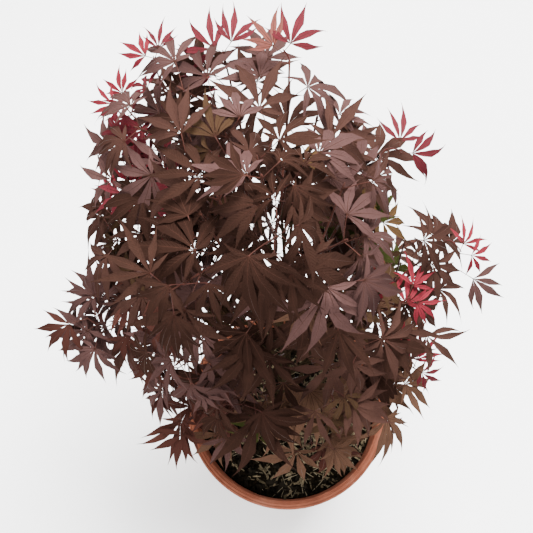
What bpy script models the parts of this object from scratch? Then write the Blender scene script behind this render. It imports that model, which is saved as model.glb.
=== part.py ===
"""A young red-leaved japanese maple growing in a terracotta flowerpot.

Metres, +z up. The pot stands on z = 0 with its axis on the z axis, and -y is its front.
The trunk rises from the soil and forks into boughs. Each bough ends where it meets the stem
of one mass of foliage, and that stem branches in opposite pairs of twigs and leaves.
"""
import math
import random
from collections import namedtuple

import bmesh
import bpy
import numpy as np
from mathutils.bvhtree import BVHTree

# Clearance between neighbouring pieces
FIT_GAP = 0.0003

# Flowerpot: a turned pot with a deep collar under its lip
POT_HEIGHT = 0.250
RIM_RADIUS = 0.140
LIP_WIDTH = 0.0115
LIP_ROUND = 0.0028
COLLAR_DEPTH = 0.034
COLLAR_TAPER = 0.0025
COLLAR_STEP = 0.0065
BASE_RADIUS = 0.095
BASE_ROUND = 0.003
WALL = 0.009
FLOOR = 0.014
DRAIN_HOLES = 4
DRAIN_RADIUS = 0.006
DRAIN_RING = 0.055
TURN_STEPS = 40

# Compost: level about the foot of the trunk, a little lower at the wall
SOIL_TOP = 0.2305
SOIL_EDGE = 0.2270
SOIL_LEVEL_RADIUS = 0.036

# Trunk: upright at the soil, then leaning back and a little to the left
TRUNK_FOOT_Y = -0.018
TRUNK_TOP = 0.680
TRUNK_LEAN_LEFT = 0.022
TRUNK_LEAN_BACK = 0.070
TRUNK_STRAIGHT = 0.008
TRUNK_FOOT_RADIUS = 0.0056
TRUNK_TIP_RADIUS = 0.0023
FLARE_RADIUS = 0.0042
FLARE_HEIGHT = 0.010
TRUNK_RINGS = 18
TRUNK_SIDES = 10
LEAN_BACK_CURVE = 1.25
LEAN_LEFT_CURVE = 1.4
RING_CROWDING = 1.8

# Boughs: the first part of each limb, sharing the trunk's thickness at the fork
BOUGH_SHARE = 0.50
BOUGH_TO_TRUNK = 0.60
BOUGH_MIN_RADIUS = 0.0019
BOUGH_TIP_RADIUS = 0.0014
BOUGH_RINGS = 6
BOUGH_SIDES = 6
ARCH_OUT = 0.36
ARCH_UP = 0.62
SWAY = 0.005
SWAY_TURNS = 1.3
LENGTH_SAMPLES = 9

# Stem and twigs of each mass, three-sided
STEM_RADIUS = 0.0022
STEM_TIP_RADIUS = 0.0017
TWIG_RADIUS = 0.0018
TWIG_TIP_RADIUS = 0.0016
TWIG_SIDES = 3
INTERNODE = 0.031
MIN_NODES = 3
MAX_NODES = 6
TWIG_LENGTH = (0.050, 0.078)
TWIG_FORWARD = 0.62
TWIG_SIDEWAYS = 0.78
TWIG_RISE = 0.10
NODE_ROLL = 22.0
BACK_NODE_ROLL = 0.9

# Leaves: seven narrow lobes on a long stalk, hanging outward
LOBE_ANGLES = (0.0, 38.0, 78.0, 122.0)
LOBE_LENGTHS = (1.0, 0.95, 0.75, 0.38)
NOTCH_DEPTHS = (0.38, 0.35, 0.22)
HUB_SHIFT = 0.013
LEAF_LENGTH = (0.049, 0.066)
SMALL_LEAF = 0.046
SHOOT_LEAF_SCALE = 0.62
TWIG_LEAF_SCALE = 0.85
LEAF_THICKNESS = 0.018
LEAF_HANG = 0.16
STALK_LENGTH = (0.026, 0.040)
STALK_HALF_WIDTH = 0.0008
STALK_TAPER = 0.50
STALK_BEFORE_NODE = 0.003
STALK_FORWARD = 0.50
STALK_SIDEWAYS = 0.85
STALK_RISE = 0.28
STALK_JITTER = 0.14
BLADE_OUTWARD = 0.8
BLADE_TURN = 24.0
BLADE_DROOP = (10.0, 42.0)
BLADE_ROLL = 14.0
LIGHT_LIFT = 34.0
LIGHT_LEAN = 16.0
BLADE_TRIES = 12
BLADE_MIDDLE = 0.4

# Room kept round a twig or leaf when it is tried for a free place
LEAF_ROOM = 0.0012
THICKNESS_ROOM = 0.0010
LIMB_ROOM = 0.0006
ROOT_ROOM = 0.0075
SPACE_OVERLAP = 0.018
SOIL_ROOM = 0.005
RIM_SLEEVE = 0.0090
RIM_SLEEVE_TURNS = 24

Limb = namedtuple("Limb", "name fork bearing reach tip twigs")

# Each limb forks off the trunk at one height, and its last leaves open at a point given by
# a bearing in degrees about the pot's axis, a reach from that axis and a height. The last
# number is how many nodes of its stem bear twigs, at most: a long young shoot has none.
LIMBS = (
    Limb("front_low", 0.288, 333, 0.041, 0.370, 2),
    Limb("front_low_left", 0.302, 186, 0.066, 0.440, 2),
    Limb("right_low", 0.316, 9, 0.117, 0.480, 2),
    Limb("left_front_low", 0.330, 174, 0.152, 0.480, 2),
    Limb("back_low_right", 0.344, 56, 0.165, 0.485, 3),
    Limb("back_low_left", 0.358, 126, 0.185, 0.500, 3),
    Limb("front_centre_low", 0.372, 299, 0.020, 0.500, 2),
    Limb("left_low", 0.386, 161, 0.227, 0.530, 3),
    Limb("back_low", 0.400, 92, 0.215, 0.560, 3),
    Limb("right_mid", 0.414, 33, 0.190, 0.600, 3),
    Limb("left_mid", 0.428, 139, 0.234, 0.600, 3),
    Limb("front_centre_right", 0.442, 347, 0.065, 0.540, 2),
    Limb("front_centre_left", 0.456, 193, 0.060, 0.560, 2),
    Limb("right_back", 0.470, 57, 0.147, 0.610, 2),
    Limb("front_left", 0.484, 174, 0.125, 0.620, 2),
    Limb("front_right", 0.498, 16, 0.095, 0.605, 2),
    Limb("left_high", 0.512, 127, 0.268, 0.655, 3),
    Limb("right_back_high", 0.526, 63, 0.197, 0.662, 0),
    Limb("left_back_high", 0.542, 120, 0.259, 0.695, 3),
    Limb("front_mid", 0.556, 207, 0.008, 0.670, 2),
    Limb("back_left_high", 0.572, 106, 0.249, 0.725, 1),
    Limb("back_high", 0.588, 92, 0.218, 0.755, 0),
    Limb("back_right", 0.602, 84, 0.174, 0.730, 2),
    Limb("centre_left", 0.616, 155, 0.101, 0.755, 2),
    Limb("centre_right", 0.630, 48, 0.058, 0.745, 2),
    Limb("back_mid", 0.644, 115, 0.152, 0.760, 2),
)
LEADER = Limb("crown_top", TRUNK_TOP, 114, 0.080, 0.805, 2)

Body = namedtuple("Body", "tree centre radius")
Twig = namedtuple("Twig", "points radii")
Leaf = namedtuple("Leaf", "hub axes root length")
Mass = namedtuple("Mass", "limb stem twigs leaves")


def unit(vector):
    """The same direction at length one."""
    return vector / np.linalg.norm(vector)


def flat(vector):
    """The part of a direction that lies level."""
    return np.array((vector[0], vector[1], 0.0))


def trunk_axis(height):
    """Centre of the trunk at a height: plumb near the soil, then an even curve of lean."""
    foot = SOIL_TOP + FIT_GAP + TRUNK_STRAIGHT
    share = max(0.0, (height - foot) / (TRUNK_TOP - foot))
    lean_back = TRUNK_FOOT_Y + TRUNK_LEAN_BACK * share ** LEAN_BACK_CURVE
    return np.array((-TRUNK_LEAN_LEFT * share ** LEAN_LEFT_CURVE, lean_back, height))


def trunk_radius(height):
    """Even taper to the tip, with the root flare added close to the soil."""
    foot = SOIL_TOP + FIT_GAP
    share = (height - foot) / (TRUNK_TOP - foot)
    taper = TRUNK_FOOT_RADIUS + (TRUNK_TIP_RADIUS - TRUNK_FOOT_RADIUS) * share
    return taper + FLARE_RADIUS * math.exp(-(height - foot) / FLARE_HEIGHT)


def limb_tip(limb):
    """Point where the last pair of leaves of a limb opens."""
    bearing = math.radians(limb.bearing)
    return np.array((limb.reach * math.cos(bearing), limb.reach * math.sin(bearing), limb.tip))


def limb_point(limb, share):
    """Point on a limb: an arch from the fork to the tip that rises first and then spreads,
    with a slow sway to the side."""
    start = trunk_axis(limb.fork)
    end = limb_tip(limb)
    spread = flat(end - start)
    rise = np.array((0.0, 0.0, end[2] - start[2]))
    bend = start + ARCH_OUT * spread + ARCH_UP * rise
    arch = (1 - share) ** 2 * start + 2 * share * (1 - share) * bend + share ** 2 * end
    aside = unit(np.cross(spread, (0.0, 0.0, 1.0)))
    return arch + aside * SWAY * math.sin(SWAY_TURNS * math.tau * share) * (1 - share)


def limb_points(limb, first, last, count):
    """Evenly shared points on a limb between two shares of it."""
    return [limb_point(limb, share) for share in np.linspace(first, last, count)]


def path_length(points):
    """Length of a run of points."""
    return sum(np.linalg.norm(b - a) for a, b in zip(points, points[1:]))


def taper(first, last, count):
    """Radii that change evenly from one end to the other."""
    return list(np.linspace(first, last, count))


def bough_of(limb):
    """Points and radii of a limb's bough."""
    points = limb_points(limb, 0.0, BOUGH_SHARE, BOUGH_RINGS)
    root = max(BOUGH_MIN_RADIUS, BOUGH_TO_TRUNK * trunk_radius(limb.fork))
    return Twig(points, taper(root, BOUGH_TIP_RADIUS, BOUGH_RINGS))


def stem_of(limb):
    """Points and radii of the stem of a limb's mass, with one point at each of its nodes.
    It starts a clearance past the bough, or past the trunk's tip for the leader."""
    share = 0.0 if limb is LEADER else BOUGH_SHARE
    gap = FIT_GAP / path_length(limb_points(limb, 0.0, 1.0, LENGTH_SAMPLES))
    run = path_length(limb_points(limb, share, 1.0, LENGTH_SAMPLES))
    count = min(MAX_NODES, max(MIN_NODES, round(run / INTERNODE)))
    points = limb_points(limb, share + gap, 1.0, count + 1)
    return Twig(points, taper(STEM_RADIUS, STEM_TIP_RADIUS, count + 1))


def sleeve(twig, room):
    """Vertices and faces of a loose square sleeve round each stretch of a twig."""
    vertices = []
    faces = []
    for a, b, r_a, r_b in zip(twig.points, twig.points[1:], twig.radii, twig.radii[1:]):
        along = unit(b - a)
        guide = np.array((1.0, 0.0, 0.0)) if abs(along[2]) > 0.8 else np.array((0.0, 0.0, 1.0))
        side = unit(np.cross(along, guide))
        over = np.cross(side, along)
        base = len(vertices)
        for centre, radius in ((a, r_a + room), (b, r_b + room)):
            vertices += [centre + radius * (x * side + y * over)
                         for x, y in ((1, 1), (-1, 1), (-1, -1), (1, -1))]
        faces += [(base + i, base + (i + 1) % 4, base + 4 + (i + 1) % 4, base + 4 + i)
                  for i in range(4)]
    return vertices, faces


def body_of(vertices, faces):
    """Search tree of a shape with the ball that holds it."""
    points = np.array(vertices)
    centre = points.mean(axis=0)
    radius = float(np.linalg.norm(points - centre, axis=1).max())
    return Body(BVHTree.FromPolygons([tuple(p) for p in points], faces), centre, radius)


def is_clear(body, others):
    """True where a shape crosses none of the others."""
    for other in others:
        if np.linalg.norm(body.centre - other.centre) > body.radius + other.radius:
            continue
        if body.tree.overlap(other.tree):
            return False
    return True


def leaf_outline(length, lobes):
    """Points round a blade in its own plane, from the right of the stalk to the left of it:
    the tip of each lobe with a notch before the next."""
    right = [(-HUB_SHIFT * length, -STALK_HALF_WIDTH)]
    for index in range(lobes // 2, 0, -1):
        tip_angle = math.radians(-LOBE_ANGLES[index])
        tip_reach = LOBE_LENGTHS[index] * length
        right.append((tip_reach * math.cos(tip_angle), tip_reach * math.sin(tip_angle)))
        notch_angle = -math.radians(LOBE_ANGLES[index] + LOBE_ANGLES[index - 1]) / 2
        notch_reach = NOTCH_DEPTHS[index - 1] * length
        right.append((notch_reach * math.cos(notch_angle), notch_reach * math.sin(notch_angle)))
    left = [(x, -y) for x, y in reversed(right)]
    return right + [(length, 0.0)] + left


def leaf_shape(leaf, room=0.0):
    """Vertices and faces of a leaf: a thin lobed blade that sags with the square of the
    distance from its hub, and a three-sided stalk that runs back to its root."""
    length = leaf.length + room
    half = LEAF_THICKNESS * leaf.length / 2 + (THICKNESS_ROOM / 2 if room else 0.0)
    lobes = 7 if leaf.length > SMALL_LEAF else 5
    along, across, upward = leaf.axes
    local = [(HUB_SHIFT * length, 0.0, half), (HUB_SHIFT * length, 0.0, -half)]
    for x, y in leaf_outline(length, lobes):
        local.append((x, y, -LEAF_HANG * (x * x + y * y) / length))
    vertices = [leaf.hub + x * along + y * across + z * upward for x, y, z in local]
    top, bottom, first = 0, 1, 2
    last = len(vertices) - 1
    faces = [(top, i, i + 1) for i in range(first, last)]
    faces += [(bottom, i + 1, i) for i in range(first, last)]
    section = [vertices[last], vertices[first], vertices[bottom]]
    middle = sum(section) / 3
    stalk = unit(middle - leaf.root)
    start = leaf.root + ROOT_ROOM * stalk if room else leaf.root
    ring = len(vertices)
    vertices += [start + STALK_TAPER * (corner - middle) for corner in section]
    left, right, below = ring, ring + 1, ring + 2
    faces.append((top, last, first))
    faces.append((first, last, left, right))
    faces.append((last, bottom, below, left))
    faces.append((bottom, first, right, below))
    faces.append((left, below, right))
    return vertices, faces


def node_side(axis, roll):
    """Direction across a twig, level at roll zero."""
    level = unit(np.cross(axis, (0.0, 0.0, 1.0)) + np.array((1e-6, 0.0, 0.0)))
    over = np.cross(level, axis)
    return math.cos(roll) * level + math.sin(roll) * over


def blade_axes(heading, droop, roll):
    """Axes of a blade that points along a level heading, hangs by the droop and leans by
    the roll."""
    along = heading * math.cos(droop) - np.array((0.0, 0.0, math.sin(droop)))
    across = np.cross((0.0, 0.0, 1.0), heading)
    upward = np.cross(along, across)
    across, upward = (across * math.cos(roll) + upward * math.sin(roll),
                      upward * math.cos(roll) - across * math.sin(roll))
    return along, across, upward


def draw_leaf(rng, point, axis, side, scale):
    """One leaf drawn at random for a side of a node. The blade turns away from the middle
    of the crown, and it faces the light, which comes from the front: it is lifted where it
    points to the back, and leans forward where it points to a side."""
    jitter = np.array([rng.uniform(-STALK_JITTER, STALK_JITTER) for _ in range(3)])
    stalk = STALK_FORWARD * axis + STALK_SIDEWAYS * side + jitter
    stalk = unit(stalk + np.array((0.0, 0.0, STALK_RISE)))
    hub = point + stalk * rng.uniform(*STALK_LENGTH) * scale
    outward = flat(hub - trunk_axis(min(hub[2], TRUNK_TOP)))
    heading = unit(unit(flat(stalk)) + BLADE_OUTWARD * unit(outward))
    turn = math.radians(rng.uniform(-BLADE_TURN, BLADE_TURN))
    heading = np.array((heading[0] * math.cos(turn) - heading[1] * math.sin(turn),
                        heading[0] * math.sin(turn) + heading[1] * math.cos(turn), 0.0))
    droop = rng.uniform(*BLADE_DROOP) - LIGHT_LIFT * max(0.0, heading[1])
    roll = rng.uniform(-BLADE_ROLL, BLADE_ROLL) + LIGHT_LEAN * heading[0]
    length = rng.uniform(*LEAF_LENGTH) * scale
    axes = blade_axes(heading, math.radians(droop), math.radians(roll))
    return Leaf(hub, axes, point, length)


def distance_to_stem(point, stem):
    """Shortest distance from a point to a stem."""
    best = math.inf
    for a, b in zip(stem.points, stem.points[1:]):
        share = np.dot(point - a, b - a) / np.dot(b - a, b - a)
        foot = a + min(1.0, max(0.0, share)) * (b - a)
        best = min(best, float(np.linalg.norm(point - foot)))
    return best


def in_own_space(point, own, stems):
    """True where a point lies in the part of the crown that is nearest to its own stem."""
    reach = distance_to_stem(point, own) - SPACE_OVERLAP
    return all(reach < distance_to_stem(point, stem) for stem in stems if stem is not own)


def fixed_bodies(limbs, stems):
    """What the twigs and leaves keep clear of: soil, rim, trunk, boughs and every stem."""
    level = SOIL_TOP + SOIL_ROOM
    corners = [(x * RIM_RADIUS, y * RIM_RADIUS, level)
               for x, y in ((-1, -1), (1, -1), (1, 1), (-1, 1))]
    bodies = [body_of(corners, [(0, 1, 2, 3)])]
    middle = RIM_RADIUS - LIP_WIDTH / 2
    turns = [math.tau * step / RIM_SLEEVE_TURNS for step in range(RIM_SLEEVE_TURNS + 1)]
    for height in (POT_HEIGHT - RIM_SLEEVE / 2, SOIL_TOP):
        ring = [np.array((middle * math.cos(a), middle * math.sin(a), height)) for a in turns]
        bodies.append(body_of(*sleeve(Twig(ring, [RIM_SLEEVE] * len(ring)), 0.0)))
    for twig in [trunk_twig()] + [bough_of(limb) for limb in limbs] + stems:
        bodies.append(body_of(*sleeve(twig, LIMB_ROOM)))
    return bodies


def trunk_twig(room=0.0):
    """Points and radii of the trunk, with rings closest together in the root flare."""
    foot = SOIL_TOP + FIT_GAP
    shares = np.linspace(0.0, 1.0, TRUNK_RINGS) ** RING_CROWDING
    shares[1] = TRUNK_STRAIGHT / (TRUNK_TOP - foot)
    heights = [foot + share * (TRUNK_TOP - foot) for share in sorted(shares)]
    return Twig([trunk_axis(h) for h in heights], [trunk_radius(h) + room for h in heights])


def grow_twigs(rng, limb, stem, stems, bodies):
    """Opposite pairs of twigs at the lower nodes of a stem. One that would leave the mass's
    space or touch anything is skipped."""
    twigs = []
    last = len(stem.points) - 2
    for node in range(max(1, last - limb.twigs), last):
        axis = unit(stem.points[node + 1] - stem.points[node])
        roll = math.radians(rng.uniform(-NODE_ROLL, NODE_ROLL) + 90.0 * ((node + 1) % 2))
        for sign in (-1, 1):
            side = sign * node_side(axis, roll)
            heading = unit(TWIG_FORWARD * axis + TWIG_SIDEWAYS * side
                           + np.array((0.0, 0.0, TWIG_RISE)))
            length = rng.uniform(*TWIG_LENGTH)
            root = stem.points[node]
            twig = Twig([root, root + heading * length], [TWIG_RADIUS, TWIG_TIP_RADIUS])
            trial = Twig([root + heading * ROOT_ROOM, twig.points[1]], twig.radii)
            body = body_of(*sleeve(trial, LIMB_ROOM))
            if in_own_space(twig.points[1], stem, stems) and is_clear(body, bodies):
                twigs.append(twig)
                bodies.append(body)
    return twigs


def leaf_sites(stem, twigs):
    """Nodes that bear a pair of leaves: the tips of stem and twigs first, then the node
    below each. A site is a point, a direction of growth, a roll and a size."""
    sites = []
    for back in (1, 2):
        for shoot in [stem] + twigs:
            before, node = shoot.points[-2], shoot.points[-1]
            if back == 2 and shoot is stem:
                before, node = shoot.points[-3], shoot.points[-2]
            elif back == 2:
                node = (before + node) / 2
            axis = unit(node - before)
            young = SHOOT_LEAF_SCALE if shoot is stem else TWIG_LEAF_SCALE
            roll = BACK_NODE_ROLL * (back - 1)
            sites.append((node - STALK_BEFORE_NODE * axis, axis, roll, 1.0 if back == 2 else young))
    return sites


def grow_pair(rng, site, stem, stems, bodies):
    """The pair of leaves of one site. Each leaf is drawn again where its place is taken, and
    is skipped after the last try."""
    point, axis, turn, scale = site
    pair = []
    roll = turn + math.radians(rng.uniform(-NODE_ROLL, NODE_ROLL))
    for sign in (-1, 1):
        side = sign * node_side(axis, roll)
        for _ in range(BLADE_TRIES):
            leaf = draw_leaf(rng, point, axis, side, scale)
            middle = leaf.hub + BLADE_MIDDLE * leaf.length * leaf.axes[0]
            body = body_of(*leaf_shape(leaf, LEAF_ROOM))
            if in_own_space(middle, stem, stems) and is_clear(body, bodies):
                pair.append(leaf)
                bodies.append(body)
                break
    return pair


def grow_crown():
    """Every mass of foliage. All twigs grow before the first leaf, and the masses take turns
    with their pairs of leaves, so none crowds out its neighbour."""
    limbs = LIMBS + (LEADER,)
    stems = [stem_of(limb) for limb in limbs]
    bodies = fixed_bodies(LIMBS, stems)
    chances = [random.Random(limb.name) for limb in limbs]
    masses = []
    for rng, limb, stem in zip(chances, limbs, stems):
        masses.append(Mass(limb, stem, grow_twigs(rng, limb, stem, stems, bodies), []))
    sites = [leaf_sites(mass.stem, mass.twigs) for mass in masses]
    for turn in range(max(len(own) for own in sites)):
        for rng, mass, own in zip(chances, masses, sites):
            if turn < len(own):
                mass.leaves.extend(grow_pair(rng, own[turn], mass.stem, stems, bodies))
    return masses


def clear_scene():
    """Remove whatever the file holds."""
    for obj in list(bpy.data.objects):
        bpy.data.objects.remove(obj, do_unlink=True)


def new_collection(name):
    """A collection linked into the scene."""
    collection = bpy.data.collections.new(name)
    bpy.context.scene.collection.children.link(collection)
    return collection


def finish(name, colour, roughness):
    """A Principled material with no metal in it."""
    material = bpy.data.materials.new(name)
    material.use_nodes = True
    shader = material.node_tree.nodes["Principled BSDF"]
    shader.inputs["Base Color"].default_value = (*colour, 1.0)
    shader.inputs["Roughness"].default_value = roughness
    shader.inputs["Metallic"].default_value = 0.0
    return material


def add_object(name, mesh, collection, material=None):
    """A named object for a mesh."""
    obj = bpy.data.objects.new(name, mesh)
    collection.objects.link(obj)
    if material:
        mesh.materials.append(material)
    return obj


def mesh_of(name, vertices, faces):
    """A mesh with its faces turned outward."""
    mesh = bpy.data.meshes.new(name)
    mesh.from_pydata([tuple(v) for v in vertices], [], faces)
    shape = bmesh.new()
    shape.from_mesh(mesh)
    bmesh.ops.recalc_face_normals(shape, faces=shape.faces)
    shape.to_mesh(mesh)
    shape.free()
    return mesh


def turned(name, profile, collection, material):
    """A turned solid: the profile runs down its outer side and is screwed round the axis."""
    mesh = bpy.data.meshes.new(name)
    edges = [(i, i + 1) for i in range(len(profile) - 1)]
    mesh.from_pydata([(radius, 0.0, height) for radius, height in profile], edges, [])
    obj = add_object(name, mesh, collection, material)
    screw = obj.modifiers.new("Turn", "SCREW")
    screw.steps = TURN_STEPS
    screw.render_steps = TURN_STEPS
    screw.use_merge_vertices = True
    screw.merge_threshold = 0.0001
    screw.use_smooth_shade = True
    return obj


def arc(centre, radius, first, last, count):
    """Points on an arc between two angles in degrees."""
    angles = np.radians(np.linspace(first, last, count))
    return [(centre[0] + radius * math.cos(a), centre[1] + radius * math.sin(a))
            for a in angles]


def inner_radius(height):
    """Radius of the pot's inner wall at a height: one straight taper."""
    top = RIM_RADIUS - LIP_WIDTH
    foot = BASE_RADIUS - WALL
    return foot + (top - foot) * (height - FLOOR) / (POT_HEIGHT - FLOOR)


def make_pot(collection, cutters):
    """Turned pot, open at the top, with drain holes round the middle of its floor."""
    collar_foot = RIM_RADIUS - COLLAR_TAPER
    collar_base = POT_HEIGHT - COLLAR_DEPTH
    lip = LIP_ROUND
    profile = [(0.0, FLOOR), (inner_radius(FLOOR), FLOOR)]
    profile.append((inner_radius(POT_HEIGHT - lip), POT_HEIGHT - lip))
    profile += arc((RIM_RADIUS - LIP_WIDTH + lip, POT_HEIGHT - lip), lip, 150, 90, 2)
    profile += arc((RIM_RADIUS - lip, POT_HEIGHT - lip), lip, 90, 0, 3)
    profile += arc((collar_foot - lip / 2, collar_base + lip / 2), lip / 2, 0, -90, 2)
    profile.append((collar_foot - COLLAR_STEP, collar_base - lip / 2))
    profile += arc((BASE_RADIUS - BASE_ROUND, BASE_ROUND), BASE_ROUND, 0, -90, 2)
    profile.append((0.0, 0.0))
    pot = turned("pot", profile, collection, finish("terracotta", (0.52, 0.22, 0.14), 0.8))
    for index in range(DRAIN_HOLES):
        angle = math.tau * (index + 0.5) / DRAIN_HOLES
        mesh = bpy.data.meshes.new("drain_hole")
        shape = bmesh.new()
        bmesh.ops.create_cone(shape, cap_ends=True, segments=16, radius1=DRAIN_RADIUS,
                              radius2=DRAIN_RADIUS, depth=3 * FLOOR)
        shape.to_mesh(mesh)
        shape.free()
        cutter = add_object(f"drain_hole_{index + 1}", mesh, cutters)
        cutter.location = (DRAIN_RING * math.cos(angle), DRAIN_RING * math.sin(angle), 0.0)
        cutter.display_type = "WIRE"
        cutter.hide_render = True
        cut = pot.modifiers.new("Drain", "BOOLEAN")
        cut.operation = "DIFFERENCE"
        cut.solver = "EXACT"
        cut.object = cutter
    return pot


def make_soil(collection):
    """Compost that fills the pot to just under its lip."""
    foot = FLOOR + FIT_GAP
    profile = [(0.0, SOIL_TOP), (SOIL_LEVEL_RADIUS, SOIL_TOP)]
    profile.append((inner_radius(SOIL_EDGE) - FIT_GAP, SOIL_EDGE))
    profile.append((inner_radius(foot) - FIT_GAP, foot))
    profile.append((0.0, foot))
    return turned("compost", profile, collection, finish("compost", (0.035, 0.028, 0.022), 1.0))


def limb_mesh(name, twig, sides, profile=None):
    """Mesh of a tapering limb, from a curve with a round bevel, or with the given outline
    for its section. The curve's caps are welded on."""
    widest = max(twig.radii)
    curve = bpy.data.curves.new(name, "CURVE")
    curve.dimensions = "3D"
    curve.use_fill_caps = True
    if profile:
        curve.bevel_mode = "OBJECT"
        curve.bevel_object = profile
        widest = 1.0
    else:
        curve.bevel_depth = widest
        curve.bevel_resolution = (sides - 4) // 2
    spline = curve.splines.new("POLY")
    spline.points.add(len(twig.points) - 1)
    for knot, point, radius in zip(spline.points, twig.points, twig.radii):
        knot.co = (*point, 1.0)
        knot.radius = radius / widest
    obj = bpy.data.objects.new(name, curve)
    bpy.context.scene.collection.objects.link(obj)
    graph = bpy.context.evaluated_depsgraph_get()
    mesh = bpy.data.meshes.new_from_object(obj.evaluated_get(graph))
    mesh.transform(obj.matrix_world)
    bpy.data.objects.remove(obj, do_unlink=True)
    shape = bmesh.new()
    shape.from_mesh(mesh)
    bmesh.ops.remove_doubles(shape, verts=shape.verts, dist=1e-5)
    bmesh.ops.recalc_face_normals(shape, faces=shape.faces)
    shape.to_mesh(mesh)
    shape.free()
    mesh.materials.clear()
    return mesh


def twig_section(cutters):
    """Three-sided outline, of radius one, that the twigs take for their section."""
    curve = bpy.data.curves.new("twig_section", "CURVE")
    curve.dimensions = "3D"
    spline = curve.splines.new("POLY")
    spline.points.add(TWIG_SIDES - 1)
    spline.use_cyclic_u = True
    for knot, index in zip(spline.points, range(TWIG_SIDES)):
        angle = math.tau * index / TWIG_SIDES
        knot.co = (math.cos(angle), math.sin(angle), 0.0, 1.0)
    outline = bpy.data.objects.new("twig_section", curve)
    outline.hide_render = True
    outline.display_type = "WIRE"
    cutters.objects.link(outline)
    return outline


def make_trunk(collection, cutters, bark):
    """Trunk, and the slightly larger cutter that seats each bough on it."""
    mesh = limb_mesh("trunk", trunk_twig(), TRUNK_SIDES)
    mesh.shade_smooth()
    trunk = add_object("trunk", mesh, collection, bark)
    cutter = limb_mesh("trunk_seat", trunk_twig(FIT_GAP), TRUNK_SIDES)
    seat = add_object("trunk_seat", cutter, cutters)
    seat.display_type = "WIRE"
    seat.hide_render = True
    return trunk, seat


def make_bough(limb, seat, collection, bark):
    """One tapering bough, cut to sit against the trunk."""
    mesh = limb_mesh(f"bough_{limb.name}", bough_of(limb), BOUGH_SIDES)
    mesh.shade_smooth()
    bough = add_object(f"bough_{limb.name}", mesh, collection, bark)
    cut = bough.modifiers.new("Seat", "BOOLEAN")
    cut.operation = "DIFFERENCE"
    cut.solver = "EXACT"
    cut.object = seat
    return bough


def islands(shape):
    """Connected groups of the faces of a bmesh."""
    left = set(shape.faces)
    groups = []
    while left:
        stack = [left.pop()]
        group = list(stack)
        while stack:
            for edge in stack.pop().edges:
                for face in edge.link_faces:
                    if face in left:
                        left.remove(face)
                        stack.append(face)
                        group.append(face)
        groups.append(group)
    return groups


def is_closed(shape):
    """True where every edge joins just two faces."""
    return bool(shape.faces) and all(len(edge.link_faces) == 2 for edge in shape.edges)


def fused(host, parts, solver):
    """Union of a host with every object in a collection, as a bmesh of triangles. Only its
    largest body is kept: any other is a sealed hollow or a scrap."""
    union = host.modifiers.new("Fuse", "BOOLEAN")
    union.operation = "UNION"
    union.operand_type = "COLLECTION"
    union.collection = parts
    union.solver = solver
    graph = bpy.context.evaluated_depsgraph_get()
    mesh = bpy.data.meshes.new_from_object(host.evaluated_get(graph))
    host.modifiers.remove(union)
    shape = bmesh.new()
    shape.from_mesh(mesh)
    bpy.data.meshes.remove(mesh)
    groups = sorted(islands(shape), key=len, reverse=True)
    scrap = [face for group in groups[1:] for face in group]
    bmesh.ops.delete(shape, geom=scrap, context="FACES")
    bmesh.ops.triangulate(shape, faces=shape.faces)
    return shape


def make_mass(mass, section, collection, cutters, material):
    """One mass of foliage: its stem, twigs and leaves fused into a single solid."""
    name = f"foliage_{mass.limb.name}"
    host = add_object(name, limb_mesh(name, mass.stem, TWIG_SIDES, section), collection)
    parts = bpy.data.collections.new(f"{name}_parts")
    cutters.children.link(parts)
    for index, twig in enumerate(mass.twigs):
        piece = f"{name}_twig_{index + 1}"
        add_object(piece, limb_mesh(piece, twig, TWIG_SIDES, section), parts)
    for index, leaf in enumerate(mass.leaves):
        piece = f"{name}_leaf_{index + 1}"
        add_object(piece, mesh_of(piece, *leaf_shape(leaf)), parts)
    shape = fused(host, parts, "EXACT")
    if not is_closed(shape):
        shape.free()
        shape = fused(host, parts, "MANIFOLD")
    shape.to_mesh(host.data)
    shape.free()
    for piece in list(parts.objects):
        bpy.data.objects.remove(piece, do_unlink=True)
    bpy.data.collections.remove(parts)
    host.data.materials.clear()
    host.data.materials.append(material)
    return host


def build():
    """The whole plant in its pot."""
    clear_scene()
    plant = new_collection("potted_japanese_maple")
    cutters = new_collection("cutters")
    bark = finish("bark", (0.13, 0.10, 0.075), 0.85)
    red_leaves = finish("red_leaves", (0.085, 0.032, 0.030), 0.55)
    make_pot(plant, cutters)
    make_soil(plant)
    trunk, seat = make_trunk(plant, cutters, bark)
    for limb in LIMBS:
        make_bough(limb, seat, plant, bark)
    section = twig_section(cutters)
    for mass in grow_crown():
        make_mass(mass, section, plant, cutters, red_leaves)


build()
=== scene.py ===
"""Finished look of a young red-leaved japanese maple growing in a terracotta flowerpot.

Metres, +z up. The pot stands on z = 0 with its axis on the z axis, and -y is its front. The
twigs and leaves grow by the same rule and from the same seeds as the solids that they stand
for, and then go on to finer twigs and smaller leaves within the same reach.
"""
from __future__ import annotations

import logging
import math
import random
from dataclasses import dataclass, field
from enum import Enum
from typing import Iterable, NamedTuple, Sequence, Union

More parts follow.
